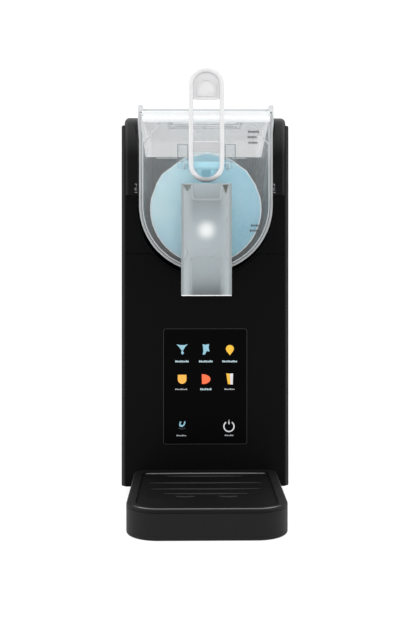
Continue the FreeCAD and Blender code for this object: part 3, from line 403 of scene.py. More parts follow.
TANK_FACE = frosted("tank_face", (0.6, 0.62, 0.63), (0.8, 0.82, 0.82), 0.09, 0.4, 0.16,
                    haze=0.03, specular=0.3)
TANK_LID = frosted("tank_lid", (0.4, 0.415, 0.42), (0.45, 0.465, 0.47), 0.22, 0.26, 0.2,
                   haze=0.02, specular=0.4)
RIM_WHITE = frosted("rim_white", (0.86, 0.87, 0.88), (0.95, 0.96, 0.96), 0.78, 0.95, 0.3)
RIM_SOFT = frosted("rim_soft", (0.5, 0.515, 0.525), (0.46, 0.475, 0.485), 0.55, 0.85, 0.35, specular=0.3)
RIM_INNER = frosted("rim_inner", (0.66, 0.67, 0.68), (0.6, 0.61, 0.62), 0.6, 0.9, 0.35, specular=0.3)
RIM_LIP = frosted("rim_lip", (0.93, 0.94, 0.945), (0.8, 0.82, 0.83), 0.8, 0.9, 0.25, haze=0.05)
FROST_EDGE = moulded("frost_edge", (0.82, 0.9, 0.93), 0.5, grain=700, depth=0.0002)

# the tap's clear parts glow with painted light in the drink's tint
TAP_CLEAR_GLOW = paint_glow_emission(
    frosted("tap_clear_glow", DRINK_TINT, DRINK_TINT, 0.04, 0.09, 0.3, haze=0.01, specular=0.1), DRINK_TINT, 0.8)
CRANK_CLEAR_GLOW = paint_glow_emission(
    frosted("crank_clear_glow", DRINK_TINT, DRINK_TINT, 0.62, 0.7, 0.35, haze=0.05, specular=0.1),
    DRINK_TINT, 0.14)
SPRING_STEEL = metal("spring_steel", (0.6, 0.74, 0.79), 0.55, (1, 1, 1))
YOKE_LINE = frosted("yoke_line", (0.25, 0.26, 0.265), (0.25, 0.26, 0.265), 0.45, 0.6, 0.35)
HANDLE_BAR = frosted("handle_bar", (0.52, 0.52, 0.53), (0.85, 0.85, 0.86), 0.8, 0.96, 0.3)
CHUTE_LINE = frosted("chute_line", (0.58, 0.62, 0.64), (0.6, 0.64, 0.66), 0.3, 0.5, 0.35)
# painted shadows for the chute's top corners
CHUTE_SOFT_SHADOW = frosted("chute_painted_soft_shadow", (0.2, 0.215, 0.205), (0.24, 0.25, 0.24), 0.6, 0.8, 0.4)
CHUTE_DEEP_SHADOW = frosted("chute_painted_deep_shadow", (0.1, 0.09, 0.07), (0.16, 0.15, 0.13), 0.6, 0.85, 0.4)

SYMBOL_BLUE = glowing("symbol_blue", (0.3, 0.58, 0.7), 0.04)
SYMBOL_PALE = glowing("symbol_pale", (0.5, 0.66, 0.72), 0.03)
SYMBOL_DIM = glowing("symbol_dim", (0.46, 0.48, 0.5), 0.03)
SYMBOL_WHITE = glowing("symbol_white", (0.75, 0.76, 0.78), 0.08)
SYMBOL_YELLOW = glowing("symbol_yellow", (0.9, 0.5, 0.03), 0.16)
SYMBOL_AMBER = glowing("symbol_amber", (0.9, 0.44, 0.06), 0.24)
SYMBOL_CORAL = glowing("symbol_coral", (0.92, 0.14, 0.04), 0.32)


# Mesh helpers

def add_piece(name, verts, faces, body, slot, replaces=(), sharp=40, material=None):
    """Makes a piece from points and faces, rides it on its body and gives it its finish."""
    mesh = bpy.data.meshes.new(name)
    mesh.from_pydata([tuple(v) for v in verts], [], faces)
    shape = bmesh.new()
    shape.from_mesh(mesh)
    bmesh.ops.remove_doubles(shape, verts=shape.verts, dist=1e-7)
    bmesh.ops.recalc_face_normals(shape, faces=shape.faces)
    shape.to_mesh(mesh)
    shape.free()
    mesh.shade_smooth()
    mesh.set_sharp_from_angle(angle=math.radians(sharp))
    piece = bpy.data.objects.new(name, mesh)
    bpy.context.collection.objects.link(piece)
    mesh.materials.append(material or MATERIALS[slot])
    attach(piece, body)
    if replaces:
        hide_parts(*replaces)
    return piece


def bevelled(piece, width, segments=2, angle=40):
    modifier = piece.modifiers.new("bevel", "BEVEL")
    modifier.width = width
    modifier.segments = segments
    modifier.limit_method = "ANGLE"
    modifier.angle_limit = math.radians(angle)
    modifier.harden_normals = True
    return piece


def joined(*parts):
    """Several (points, faces) meshes as one."""
    verts, faces = [], []
    for some_verts, some_faces in parts:
        start = len(verts)
        verts += some_verts
        faces += [tuple(start + i for i in face) for face in some_faces]
    return verts, faces


def loft(rings, loop=False, caps=True):
    """Skin over closed rings of the same number of points."""
    count = len(rings[0])
    verts = [Vector(p) for ring in rings for p in ring]
    faces = []
    steps = len(rings) if loop else len(rings) - 1
    for k in range(steps):
        a = k * count
        b = ((k + 1) % len(rings)) * count
        for i in range(count):
            j = (i + 1) % count
            faces.append((a + i, a + j, b + j, b + i))
    if caps and not loop:
        faces.append(tuple(range(count)))
        faces.append(tuple(reversed(range(len(verts) - count, len(verts)))))
    return verts, faces


def arc(x, z, radius, start, end, steps):
    """Points of an arc, angles in degrees, both ends included."""
    points = []
    for i in range(steps + 1):
        turn = math.radians(start + (end - start) * i / steps)
        points.append((x + radius * math.cos(turn), z + radius * math.sin(turn)))
    return points


def round_rect(x0, x1, z0, z1, radius, steps=5):
    """Upright rectangle with rounded corners."""
    left = x0 + radius
    right = x1 - radius
    low = z0 + radius
    high = z1 - radius
    points = []
    for x, z, turn in ((right, high, 0), (left, high, 90), (left, low, 180), (right, low, 270)):
        points += arc(x, z, radius, turn, turn + 90, steps)
    return points


def plate(outline, y0, y1):
    """Flat piece with an upright outline, from y0 to y1."""
    return loft([[(x, y0, z) for x, z in outline], [(x, y1, z) for x, z in outline]])


def slab(x, y, z):
    """Straight block, to be bevelled."""
    return plate([(x[0], z[0]), (x[1], z[0]), (x[1], z[1]), (x[0], z[1])], y[0], y[1])


def bar(start, end, radius, steps=16):
    """Round bar between two points with slightly rounded ends."""
    start = Vector(start)
    end = Vector(end)
    along = (end - start).normalized()
    across = along.orthogonal().normalized()
    other = along.cross(across)
    soft = min(radius * 0.25, (end - start).length * 0.2)
    rings = []
    for place, size in ((start, radius - soft), (start + along * soft, radius),
                        (end - along * soft, radius), (end, radius - soft)):
        rings.append([place + (across * math.cos(t) + other * math.sin(t)) * size
                      for t in (2 * math.pi * i / steps for i in range(steps))])
    return loft(rings)


def refined(node, body, width, segments=2):
    """A CAD moulding with its edges softened: the same shape, merged, cleaned and bevelled."""
    source = frame["nodes"][node]
    slot = next(s["material_slot"] for s in frame["record"]["subparts"] if s["node"] == node)
    mesh = source.data.copy()
    mesh.name = node + "_soft"
    shape = bmesh.new()
    shape.from_mesh(mesh)
    bmesh.ops.remove_doubles(shape, verts=shape.verts, dist=2e-6)
    bmesh.ops.dissolve_limit(shape, angle_limit=math.radians(0.5), verts=shape.verts, edges=shape.edges)
    bmesh.ops.recalc_face_normals(shape, faces=shape.faces)
    shape.to_mesh(mesh)
    shape.free()
    mesh.materials.clear()
    mesh.materials.append(MATERIALS[slot])
    mesh.shade_smooth()
    mesh.set_sharp_from_angle(angle=math.radians(30))
    piece = bpy.data.objects.new(node + "_soft", mesh)
    bpy.context.collection.objects.link(piece)
    bevelled(piece, width, segments, 30)
    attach(piece, body)
    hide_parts(node)
    return piece


def sides(path, half):
    """The two lines that run beside a path, half the strip's width away."""
    left, right = [], []
    for i, (x, z) in enumerate(path):
        before = path[max(i - 1, 0)]
        after = path[min(i + 1, len(path) - 1)]
        dx, dz = after[0] - before[0], after[1] - before[1]
        length = math.hypot(dx, dz)
        left.append((x - dz / length * half, z + dx / length * half))
        right.append((x + dz / length * half, z - dx / length * half))
    return left, right


def ribbon(path, half, y0, y1):
    """Flat strip of even width along an upright path."""
    rings = []
    for (lx, lz), (rx, rz) in zip(*sides(path, half)):
        rings.append([(lx, y0, lz), (rx, y0, rz), (rx, y1, rz), (lx, y1, lz)])
    return loft(rings)


def stroke(path, half):
    """Outline of an even stroke along a path."""
    left, right = sides(path, half)
    return left + right[::-1]


def bead(path, radial, deep, y, soft, loop=True, steps=4):
    """Bar of rounded rectangular section along an upright path, its middle at depth y."""
    section = round_rect(-radial, radial, -deep, deep, soft, steps)
    rings = []
    count = len(path)
    for i, (x, z) in enumerate(path):
        before = path[i - 1] if loop or i else path[0]
        after = path[(i + 1) % count] if loop or i < count - 1 else path[i]
        dx, dz = after[0] - before[0], after[1] - before[1]
        length = math.hypot(dx, dz)
        nx, nz = dz / length, -dx / length
        rings.append([(x + nx * a, y + b, z + nz * a) for a, b in section])
    return loft(rings, loop=loop)


def u_path(half, top, bottom_steps=40):
    """Round-bottomed outline open at the top, centred on the tank's axis."""
    return [(half, top)] + arc(0, AXIS_Z, half, 0, -180, bottom_steps) + [(-half, top)]


def closed_stadium(half, low, high, steps=18):
    """Upright outline with round ends, with points shared along its straight sides too."""
    length = high - low - 2 * half
    top = arc(0, high - half, half, 0, 180, steps)
    down = [(-half, high - half - length * i / 6) for i in range(1, 6)]
    bottom = arc(0, low + half, half, 180, 360, steps)
    up = [(half, low + half + length * i / 6) for i in range(1, 6)]
    return top + down + bottom + up


# CAD nodes that stay get their finish

# plunger and pin take the crank's painted glow
CLEAR_NODES = {"valve_plunger": CRANK_CLEAR_GLOW, "handle_pin": CRANK_CLEAR_GLOW, "handle_springs": SPRING_STEEL}


def finish_cad_nodes():
    for entry in frame["record"]["subparts"]:
        node = frame["nodes"][entry["node"]]
        for slot in node.material_slots:
            slot.material = CLEAR_NODES.get(entry["node"], MATERIALS[entry["material_slot"]])
        if not node.material_slots:
            node.data.materials.append(MATERIALS[entry["material_slot"]])


def second_finish(piece, material, belongs):
    """Gives the faces that pass the test a second material."""
    piece.data.materials.append(material)
    for face in piece.data.polygons:
        if belongs(face):
            face.material_index = 1


def soften_casing():
    """Casings and covers of the body, with the small edge radii that mouldings have, a painted highlight
    towards the cheeks' tops and a painted highlight along the side covers' front edges.
    """
    radii = {
        "front_panel": 0.5, "cradle_collar": 0.5, "left_cheek": 0.6, "right_cheek": 0.6,
        "left_side_cover": 0.3, "right_side_cover": 0.3, "top_cover": 0.5, "rear_cover": 0.4,
        "feet": 0.8, "touch_panel": 0.15, "power_inlet": 0.3,
    }
    edge = FRONT + SIDE_HIGHLIGHT_DEPTH
    for node, width in radii.items():
        piece = refined(node, "housing", width * MM)
        # the cheeks take the painted highlight towards their tops
        if node.endswith("_cheek"):
            piece.data.materials[0] = CHEEK_PAINTED_HIGHLIGHT
        if node.endswith("_side_cover"):
            # painted highlight on the side covers' front faces
            second_finish(piece, SIDE_EDGE_HIGHLIGHT, lambda face: face.normal.y < -0.5 and face.center.y < edge)


def soften_moving_parts():
    """Tray, grate, lid, bail and tap, softened in the same way."""
    refined("drip_tray", "tray", 0.5 * MM)
    grate = refined("drip_grate", "grate", 0.3 * MM)
    for vert in grate.data.vertices:
        vert.co.y = min(vert.co.y, PANEL_LOW.y - GRATE_GAP)
    grate.data.materials[0] = GRATE_RIM
    rim = GRATE_HIGH.z - GRATE_RIM_HEIGHT
    second_finish(grate, GRATE_FLOOR, lambda face: face.center.z < rim and abs(face.normal.z) > 0.9)
    lid = refined("fill_lid", "lid", 0.3 * MM)
    lid.data.materials[0] = TANK_LID
    refined("lock_bail", "bail", 0.6 * MM)
    tap = refined("tap_body", "tank_unit", 0.5 * MM)
    # the yoke's clear middle takes the painted glow
    second_finish(tap, TAP_CLEAR_GLOW, lambda face: abs(face.center.x) < YOKE_SLOT or face.center.z < YOKE_FOOT)


# Frozen drink

def slush_outline(radius, middle):
    """Disc with straight facets round its upper half, where the ice has broken away."""
    facets = (11, 26, 43, 64, 88, 113, 142, 153, 170)
    first, last = facets[0] + 360, facets[-1]
    turns = list(facets) + [last + (first - last) * i / 30 for i in range(1, 30)]
    points = []
    for i, turn in enumerate(turns):
        size = radius - (0.4 * MM if i % 2 and turn <= last else 0.0)
        angle = math.radians(turn)
        points.append((size * math.cos(angle), middle + size * math.sin(angle)))
    return points


def shrunk(outline, middle, scale):
    return [(x * scale, middle + (z - middle) * scale) for x, z in outline]


def slush_mass():
    """Faceted block of frozen drink round the auger, its front edge rounded and rimmed with frost."""
    middle = AXIS_Z - 2.6 * MM
    front = SLUSH_LOW.y
    back = SLUSH_HIGH.y
    outline = slush_outline(52.6 * MM, middle)
    rings = []
    for scale, depth in ((0.94, 0.0), (0.975, 0.05), (0.992, 0.5), (1.0, 1.6)):
        rings.append([(x, front + depth * MM, z) for x, z in shrunk(outline, middle, scale)])
    for k in range(1, 13):
        y = front + (back - front) * k / 12
        rings.append([(x, y, z) for x, z in outline])
    verts, faces = loft(rings)
    for vert in verts[2 * len(outline):]:
        swell = noise.noise(vert * 60) * 0.9 * MM
        out = Vector((vert.x, 0, vert.z - AXIS_Z)).normalized()
        vert -= out * abs(swell)
    add_piece("slush_mass", verts, faces, "auger_unit", "slush_ice", ("slush",), sharp=24)
    verts, faces = bead(shrunk(outline, middle, 0.985), 0.55 * MM, 0.35 * MM, front + 0.1 * MM, 0.2 * MM)
    add_piece("slush_frost_edge", verts, faces, "auger_unit", "slush_ice", material=FROST_EDGE)


# Tank

def tank_shell():
    """Tank with a clearer front wall, so that the drink shows through it."""
    shell = refined("tank", "tank_unit", 0.9 * MM, 3)
    second_finish(shell, TANK_FACE, lambda face: face.center.y < TANK_FRONT + TANK_WALL)


def tank_rim():
    """Double bead round the front edge."""
    top = TANK_HIGH.z - 2.5 * MM
    outer = bead(u_path(TANK_R - 1.1 * MM, top), 1.1 * MM, 0.9 * MM, TANK_FRONT, 0.6 * MM, loop=False)
    inner = bead(u_path(TANK_R - 3.3 * MM, top), 0.6 * MM, 0.6 * MM, TANK_FRONT, 0.4 * MM, loop=False)
    add_piece("tank_rim_outer", *outer, "tank_unit", "tank_clear", material=RIM_SOFT)
    add_piece("tank_rim_inner", *inner, "tank_unit", "tank_clear", material=RIM_INNER)


def tank_lip():
    """Rolled lip: a bright rounded band under a shallow groove and a thin top edge."""
    half = TANK_R - 2.6 * MM
    z = TANK_HIGH.z
    profile = [(0.0, 0.6), (-0.8, 0.5), (-1.0, 0.0), (-0.9, -0.7), (-0.35, -1.2), (-0.35, -3.9), (-1.2, -4.5),
               (-1.7, -5.8), (-1.6, -7.4), (-1.0, -8.9), (0.2, -9.7), (0.6, -9.0), (0.6, 0.2)]
    rings = [[(x, TANK_FRONT + a * MM, z + b * MM) for a, b in profile]
             for x in (-half, -half + 0.5 * MM, half - 0.5 * MM, half)]
    add_piece("tank_lip", *loft(rings), "tank_unit", "tank_clear", sharp=50, material=RIM_LIP)


def tank_ribs():
    """Corner gussets at the top of the front wall, and short white ribs on the rear wall that paint a
    highlight line there.
    """
    y = TANK_FRONT + 3 * MM
    top = TANK_HIGH.z - 9.5 * MM
    gussets = []
    for side in (-1, 1):
        path = [(side * 42.5 * MM, top), (side * 58.6 * MM, top - 20 * MM)]
        gussets.append(ribbon(path, 0.55 * MM, y, y + 1.6 * MM))
    add_piece("tank_gussets", *joined(*gussets), "tank_unit", "tank_clear", material=RIM_WHITE)
    # short white bars standing in for a highlight line on the rear wall
    back = TANK_HIGH.y
    level = COVER_HIGH.z - 3 * MM
    bars = [slab((x, x + wide), (back - 4.2 * MM, back - 3 * MM), (level, level + 1.2 * MM))
            for x, wide in ((-54 * MM, 24 * MM), (33 * MM, 16 * MM))]
    add_piece("tank_rear_highlight_ribs", *joined(*bars), "tank_unit", "tank_clear", material=RIM_WHITE)


def level_marks():
    """Plain level ticks moulded on the front wall, each row a run of short and tall ones."""
    y = TANK_FRONT - 0.12 * MM
    rows = ((39.5, 352.6, 7), (38.9, 347.6, 6), (39.8, 342.4, 6), (42.2, 265.2, 5), (41.0, 260.4, 6))
    marks = []
    for x, z, count in rows:
        for i in range(count):
            left = (x + 1.45 * i) * MM
            half = (1.1 if i % 3 == 0 else 0.8) * MM
            marks.append(slab((left, left + 1.0 * MM), (y, y + 0.3 * MM), (z * MM - half, z * MM + half)))
    add_piece("level_marks", *joined(*marks), "tank_unit", "tank_clear", material=MARK_GREY)


def lid_tab():
    """Finger tab and shallow stiffening border on the fill lid."""
    top = LID_HIGH.z
    outline = round_rect(-9 * MM, 9 * MM, -2.2 * MM, 2.2 * MM, 2 * MM)
    rings = []
    for grow, up in ((1.0, -0.6), (1.0, 0.0), (0.8, 0.45)):
        rings.append([(a * grow, LID_LOW.y + 6 * MM + b * grow, top + up * MM) for a, b in outline])
    border = []
    wide = 1.2 * MM
    x = LID_HIGH.x - 3 * MM
    front = LID_LOW.y + 3 * MM
    back = LID_HIGH.y - 7 * MM
    level = (top - 0.4 * MM, top + 0.35 * MM)
    for y in (front, back):
        border.append(slab((-x, x), (y, y + wide), level))
    for left in (-x, x - wide):
        border.append(slab((left, left + wide), (front, back + wide), level))
    add_piece("lid_tab", *joined(loft(rings), *border), "lid", "tank_clear", material=RIM_SOFT)


# Tap

def yoke_edges():
    """Raised edges round the two frosted shoulders of the tap's yoke."""
    outer = TAP_HIGH.x - 0.5 * MM
    inner = outer - 9 * MM
    top = TAP_HIGH.z - 0.6 * MM
    foot = top - 14.5 * MM
    front = TAP_LOW.y
    frames = []
    for side in (-1, 1):
        path = [(side * inner, foot), (side * inner, top), (side * outer, top), (side * outer, foot)]
        frames.append(ribbon(path, 0.45 * MM, front, front + 0.5 * MM))
    add_piece("yoke_edges", *joined(*frames), "tank_unit", "tap_frost", material=YOKE_LINE)


def handle_ring():
    """Long ring handle: rounded bar, thumb pad with a raised arch, and cross bar."""
    half = HANDLE_HIGH.x
    low = HANDLE_LOW.z
    high = HANDLE_HIGH.z
    front = HANDLE_LOW.y
    deep = 3.0 * MM
    bar_half = 2.15 * MM
    middle = front + deep
    path = closed_stadium(half - bar_half, low + bar_half, high - bar_half)
    ring = bead(path, bar_half, deep, middle, 1.9 * MM)
    opening = half - 2 * bar_half + 0.6 * MM
    pad_low = 376 * MM
    pad = [(opening, pad_low + 1.5 * MM)] + arc(0, high - 16 * MM, opening, 0, 180, 20)
    pad += [(-opening, pad_low + 1.5 * MM)] + [(x * MM, pad_low + 0.5 * MM) for x in (-8, 0, 8)]
    arch_half = 8.4 * MM
    arch_foot = pad_low + 4 * MM
    arch = arc(0, high - 19.2 * MM, arch_half, 0, 180, 18)
    arch = [(arch_half, arch_foot)] + arch + [(-arch_half, arch_foot)]
    shape = joined(ring, plate(pad, middle - 0.9 * MM, middle + 0.9 * MM),
                   bead(arch, 0.8 * MM, 0.5 * MM, middle - 1.1 * MM, 0.35 * MM))
    add_piece("handle_ring", *shape, "handle", "handle_frost", ("tap_handle",))
    cross_low = 329.5 * MM
    cross_high = 339 * MM
    cross = plate(round_rect(-opening, opening, cross_low, cross_high, 0.8 * MM), front + 0.5 * MM,
                  front + 5.5 * MM)
    cross_bar = add_piece("handle_cross_bar", *cross, "handle", "handle_frost", material=HANDLE_BAR)
    bevelled(cross_bar, 0.7 * MM, 3)


def handle_crank():
    """Hub on the pin, its two lugs to the ring, and the finger that lifts the plunger."""
    hub_end = HANDLE_HIGH.x - 0.3 * MM
    hub = bar((-hub_end, PIVOT_Y, PIVOT_Z), (hub_end, PIVOT_Y, PIVOT_Z), 3.5 * MM, 24)
    middle = HANDLE_LOW.y + 3.0 * MM
    level = (PIVOT_Z - 3.4 * MM, PIVOT_Z + 3.4 * MM)
    lugs = [slab(sorted((side * 11.9 * MM, side * 15.9 * MM)), (middle, PIVOT_Y), level) for side in (-1, 1)]
    reach = 17 * MM
    droop = math.radians(25)
    half = 4 * MM
    tip = (PIVOT_Y + reach * math.cos(droop), PIVOT_Z - reach * math.sin(droop))
    rise = (1.7 * MM * math.sin(droop), 1.7 * MM * math.cos(droop))
    rings = []
    for y, z in ((PIVOT_Y, PIVOT_Z), tip):
        rings.append([(x, y + sign * rise[0], z + sign * rise[1])
                      for x, sign in ((-half, -1), (half, -1), (half, 1), (-half, 1))])
    knob = bar((-half, *tip), (half, *tip), 2.9 * MM)
    shape = joined(hub, *lugs, loft(rings), knob)
    add_piece("handle_crank", *shape, "handle", "handle_frost", material=CRANK_CLEAR_GLOW)


def spout_shell():
    """Rectangular frosted chute with rounded corners, a soft lower lip and a low wall behind."""
    half = SHROUD_HIGH.x
    front = SHROUD_LOW.y
    back = SHROUD_HIGH.y
    low = SHROUD_LOW.z
    high = SHROUD_HIGH.z
    wall = 2.4 * MM
    corner = 2.2 * MM

    def outline(x, y, radius):
        right = arc(x - radius, y + radius, radius, 0, -90, 5)
        left = arc(-x + radius, y + radius, radius, -90, -180, 5)
        return [(x, back)] + right + left + [(-x, back)]

    section = outline(half, front, corner)
    section += reversed(outline(half - wall, front + wall, corner * 0.5))
    rings = []
    for z in (low, low + 0.4 * MM, low + (high - low) * 0.5, high - 0.4 * MM, high):
        rings.append([(x, y, z) for x, y in section])
    shell = add_piece("spout_shell", *loft(rings), "shroud", "spout_frost", ("spout_shroud",))
    bevelled(shell, 0.35 * MM, 2, 50)
    apron_top = 250 * MM
    apron = slab((-half + wall, half - wall), (back - 2.2 * MM, back), (low, apron_top))
    bevelled(add_piece("spout_apron", *apron, "shroud", "spout_frost"), 0.3 * MM)


def spout_ribs():
    """Ribs and arch inside the chute, seen as faint lines in its front wall."""
    front = SHROUD_LOW.y - 0.25 * MM
    back = SHROUD_LOW.y + 0.4 * MM
    low = SHROUD_LOW.z
    high = SHROUD_HIGH.z
    shoulder = 244 * MM
    arch_top = 237.2
    lines = []
    for side in (-1, 1):
        rib = [(side * 18.4 * MM, high - 0.8 * MM), (side * 18.4 * MM, shoulder),
               (side * 17.2 * MM, shoulder - 5 * MM), (side * 21.2 * MM, shoulder - 15 * MM)]
        lines.append(ribbon(rib, 0.5 * MM, front, back))
        foot = [(side * 13.6 * MM, shoulder - 8 * MM), (side * 13.6 * MM, low + 7 * MM)]
        lines.append(ribbon(foot, 0.45 * MM, front, back))
    arch = [(x * MM, (arch_top - 0.018 * x * x) * MM) for x in range(-16, 17, 2)]
    lines.append(ribbon(arch, 0.5 * MM, front, back))
    add_piece("spout_ribs", *joined(*lines), "shroud", "spout_frost", material=CHUTE_LINE)


def spout_mouth():
    """Painted shadows in the chute's top corners, the lip at its top, and the bright edge at its foot."""
    front = SHROUD_LOW.y - 0.25 * MM
    back = SHROUD_LOW.y + 0.4 * MM
    high = SHROUD_HIGH.z
    top = high - 1.2 * MM
    # dark triangles painted where shadow falls in the chute's top corners
    for name, outer, inner, deep, finish in (("spout_shadow_left", -21.0, -12.5, 6.0, CHUTE_SOFT_SHADOW),
                                             ("spout_shadow_right", 19.5, 14.5, 8.0, CHUTE_DEEP_SHADOW)):
        tip = (outer + (inner - outer) * 0.45) * MM
        corner = plate([(outer * MM, top), (inner * MM, top), (tip, top - deep * MM)], front, back)
        add_piece(name, *corner, "shroud", "spout_frost", material=finish)
    bend = high - 11.5 * MM
    lip = [(-13.4 * MM, high - 0.5 * MM), (-12.6 * MM, high - 11 * MM)]
    lip += arc(-9.6 * MM, bend, 3 * MM, 180, 270, 5) + arc(9.6 * MM, bend, 3 * MM, 270, 360, 5)
    lip += [(12.6 * MM, high - 11 * MM), (13.4 * MM, high - 0.5 * MM)]
    strip = ribbon(lip, 1.0 * MM, front - 0.1 * MM, back)
    add_piece("spout_lip", *strip, "shroud", "spout_frost", material=CHUTE_LINE)
    half = SHROUD_HIGH.x - 0.5 * MM
    foot = SHROUD_LOW.z + 0.45 * MM
    path = [(half, foot), (0, foot), (-half, foot)]
    edge = bead(path, 0.45 * MM, 0.5 * MM, SHROUD_LOW.y, 0.3 * MM, loop=False)
    add_piece("spout_edge", *edge, "shroud", "spout_frost", material=RIM_WHITE)


# Touch panel

def symbol(name, outlines, material):
    """Thin printed shapes just proud of the touch window, outlines in millimetres."""
    front = PANEL_LOW.y - 0.12 * MM
    back = PANEL_LOW.y + 0.1 * MM
    shapes = [plate([(x * MM, z * MM) for x, z in outline], front, back) for outline in outlines]
    add_piece(name, *joined(*shapes), "housing", "panel_glass", sharp=30, material=material)


def around(x, z, offsets):
    return [(x + across, z + up) for across, up in offsets]


def captions(name, places, tall, material):
    """Rows of short bars that stand in for captions, each centred on its place and as wide as given."""
    pitch = 1.75
    bars = []
    for x, z, width in places:
        count = max(3, round(width / pitch))
        step = width / count
        low = z - tall / 2
        for i in range(count):
            left = x - width / 2 + i * step
            right = left + step * 0.78
            high = z + tall / 2 - 0.25 * (i % 3)
            bars.append([(left, low), (right, low), (right, high), (left, high)])
    symbol(name, bars, material)


def panel_frame():
    """Fine raised line round the touch window."""
    path = round_rect(PANEL_LOW.x, PANEL_HIGH.x, PANEL_LOW.z, PANEL_HIGH.z, 2.4 * MM)
    line = bead(path, 0.22 * MM, 0.2 * MM, PANEL_LOW.y, 0.1 * MM)
    add_piece("panel_frame", *line, "housing", "panel_glass", material=FRAME_LINE)


LEFT, CENTRE, RIGHT = -22.8, 0.8, 24.4      # columns of the touch window's symbols, in millimetres
UPPER, LOWER, KEYS = 145.0, 115.0, 70.0     # and their rows


def drink_symbols():
    """Six generic drinks: cocktail, tumbler, drop, badge, wedge and a half-filled glass."""
    cone = around(LEFT, UPPER, [(-5.6, 4.8), (-2.0, 3.9), (2.0, 3.9), (5.6, 4.8), (3.0, 2.2), (0.9, -1.6),
                                (-0.5, -1.6), (-2.9, 2.0)])
    stem = around(LEFT, UPPER, [(-0.9, -2.4), (0.3, -1.8), (1.8, -3.6), (0.6, -5.6), (-0.8, -4.6)])
    symbol("symbol_cocktail", [cone, stem], SYMBOL_BLUE)
    cup = around(CENTRE, UPPER, [(-3.4, 4.8), (-0.6, 4.2), (3.0, 5.0), (2.6, 1.4), (3.5, -2.4), (0.6, -2.1),
                                 (-1.1, -5.4), (-3.3, -5.5), (-2.6, -1.6)])
    symbol("symbol_tumbler", [cup], SYMBOL_BLUE)
    drop = arc(RIGHT, UPPER, 4.0, 0, 180, 12) + around(RIGHT, UPPER, [(-3.2, -2.2), (0, -6.2), (3.2, -2.2)])
    symbol("symbol_drop", [drop], SYMBOL_YELLOW)
    badge = around(LEFT, LOWER, [(-4.2, 4.6), (4.2, 4.6)]) + arc(LEFT, LOWER, 4.3, 0, -180, 12)
    symbol("symbol_badge", [badge], SYMBOL_AMBER)
    wedge = [(-4.2, 5.2)]
    for turn in range(65, -66, -13):
        angle = math.radians(turn)
        wedge.append((-4.2 + 8.6 * math.cos(angle), 0.2 + 5.1 * math.sin(angle)))
    wedge.append((-4.0, -4.6))
    symbol("symbol_wedge", [around(CENTRE, LOWER, wedge)], SYMBOL_CORAL)
    full = [(-3.6, 6.0), (-0.1, 5.6), (0.6, -5.0), (-2.0, -4.6)]
    rest = [(-0.1, 5.6), (3.2, 5.9), (2.9, -5.2), (0.6, -5.0)]
    symbol("symbol_glass_half", [around(RIGHT, LOWER, full)], SYMBOL_YELLOW)
    symbol("symbol_glass_rest", [around(RIGHT, LOWER, rest)], SYMBOL_WHITE)


def key_symbols():
    """Rinse wave and power ring, and the plain dashes under all the symbols."""
    wave = around(LEFT, KEYS, [(-2.2, 3.4), (-0.9, 3.6), (-1.6, 0.6), (0.2, -0.4), (1.5, 0.9), (2.0, 3.6),
                               (3.4, 3.4), (2.6, 0.0), (0.2, -2.1), (-2.6, -1.5), (-3.1, 0.4)])
    symbol("symbol_wave", [wave], SYMBOL_BLUE)
    shade = arc(LEFT - 0.2, KEYS + 2.0, 6.0, 235, 305, 8)
    symbol("symbol_wave_shade", [stroke(shade, 0.25)], MARK_GREY)
    ring = arc(RIGHT - 0.9, KEYS - 1.6, 5.0, 125, 415, 32)
    symbol("symbol_power", [stroke(ring, 0.62)], SYMBOL_WHITE)
    tick = around(RIGHT, KEYS, [(-1.6, 1.2), (-0.9, 5.6), (-0.2, 1.2), (-0.9, 0.2)])
    symbol("symbol_power_tick", [tick], SYMBOL_WHITE)
    under_upper = UPPER - 12.2
    under_lower = LOWER - 9.7
    under_keys = KEYS - 10.4
    bright = [(LEFT, under_upper, 13.6), (CENTRE, under_upper, 13.8), (RIGHT, under_upper, 15.0),
              (CENTRE, under_lower, 11.4)]
    thin = [(LEFT - 0.8, under_lower, 12.0), (RIGHT - 0.2, under_lower, 10.4), (LEFT - 0.6, under_keys, 9.8),
            (RIGHT - 0.6, under_keys, 8.8)]
    captions("captions_bright", bright, 1.9, SYMBOL_PALE)
    captions("captions_thin", thin, 1.3, SYMBOL_DIM)


# Small marks on the housing

def lock_marks():
    """White lock signs beside the tank: a tick, an open ring and a dash, on each cheek."""
    y = FRONT - 0.08 * MM
    signs = []
    for side in (-1, 1):
        x = side * 68.4
        for left, right, low, high in ((-1.2, 0.6, 307.8, 308.3), (0.2, 0.6, 306.0, 307.8),
                                       (-1.3, 1.3, 299.6, 300.1)):
            signs.append([(x + left, low), (x + right, low), (x + right, high), (x + left, high)])
        signs.append(stroke(arc(x, 303.2, 1.15, 40, 320, 12), 0.22))
    shapes = [plate([(a * MM, b * MM) for a, b in sign], y, y + 0.2 * MM) for sign in signs]
    add_piece("lock_marks", *joined(*shapes), "housing", "black_housing", material=MARK_WHITE)


def lip_strip(path):
    """Low rounded ridge along a level path on the grate's floor, fading to nothing at its ends."""
    low = GRATE_FLOOR_Z - 0.3 * MM
    rings = []
    last = len(path) - 1
    for i, (x, y) in enumerate(path):
        tall = 0.9 * MM * math.sin(math.pi * (i + 0.25) / (last + 0.5)) ** 0.5
        shoulder = GRATE_FLOOR_Z + tall * 0.7
        rings.append([(x, y - 0.8 * MM, low), (x, y - 0.5 * MM, shoulder), (x, y, GRATE_FLOOR_Z + tall),
                      (x, y + 0.5 * MM, shoulder), (x, y + 0.8 * MM, low)])
    return loft(rings)


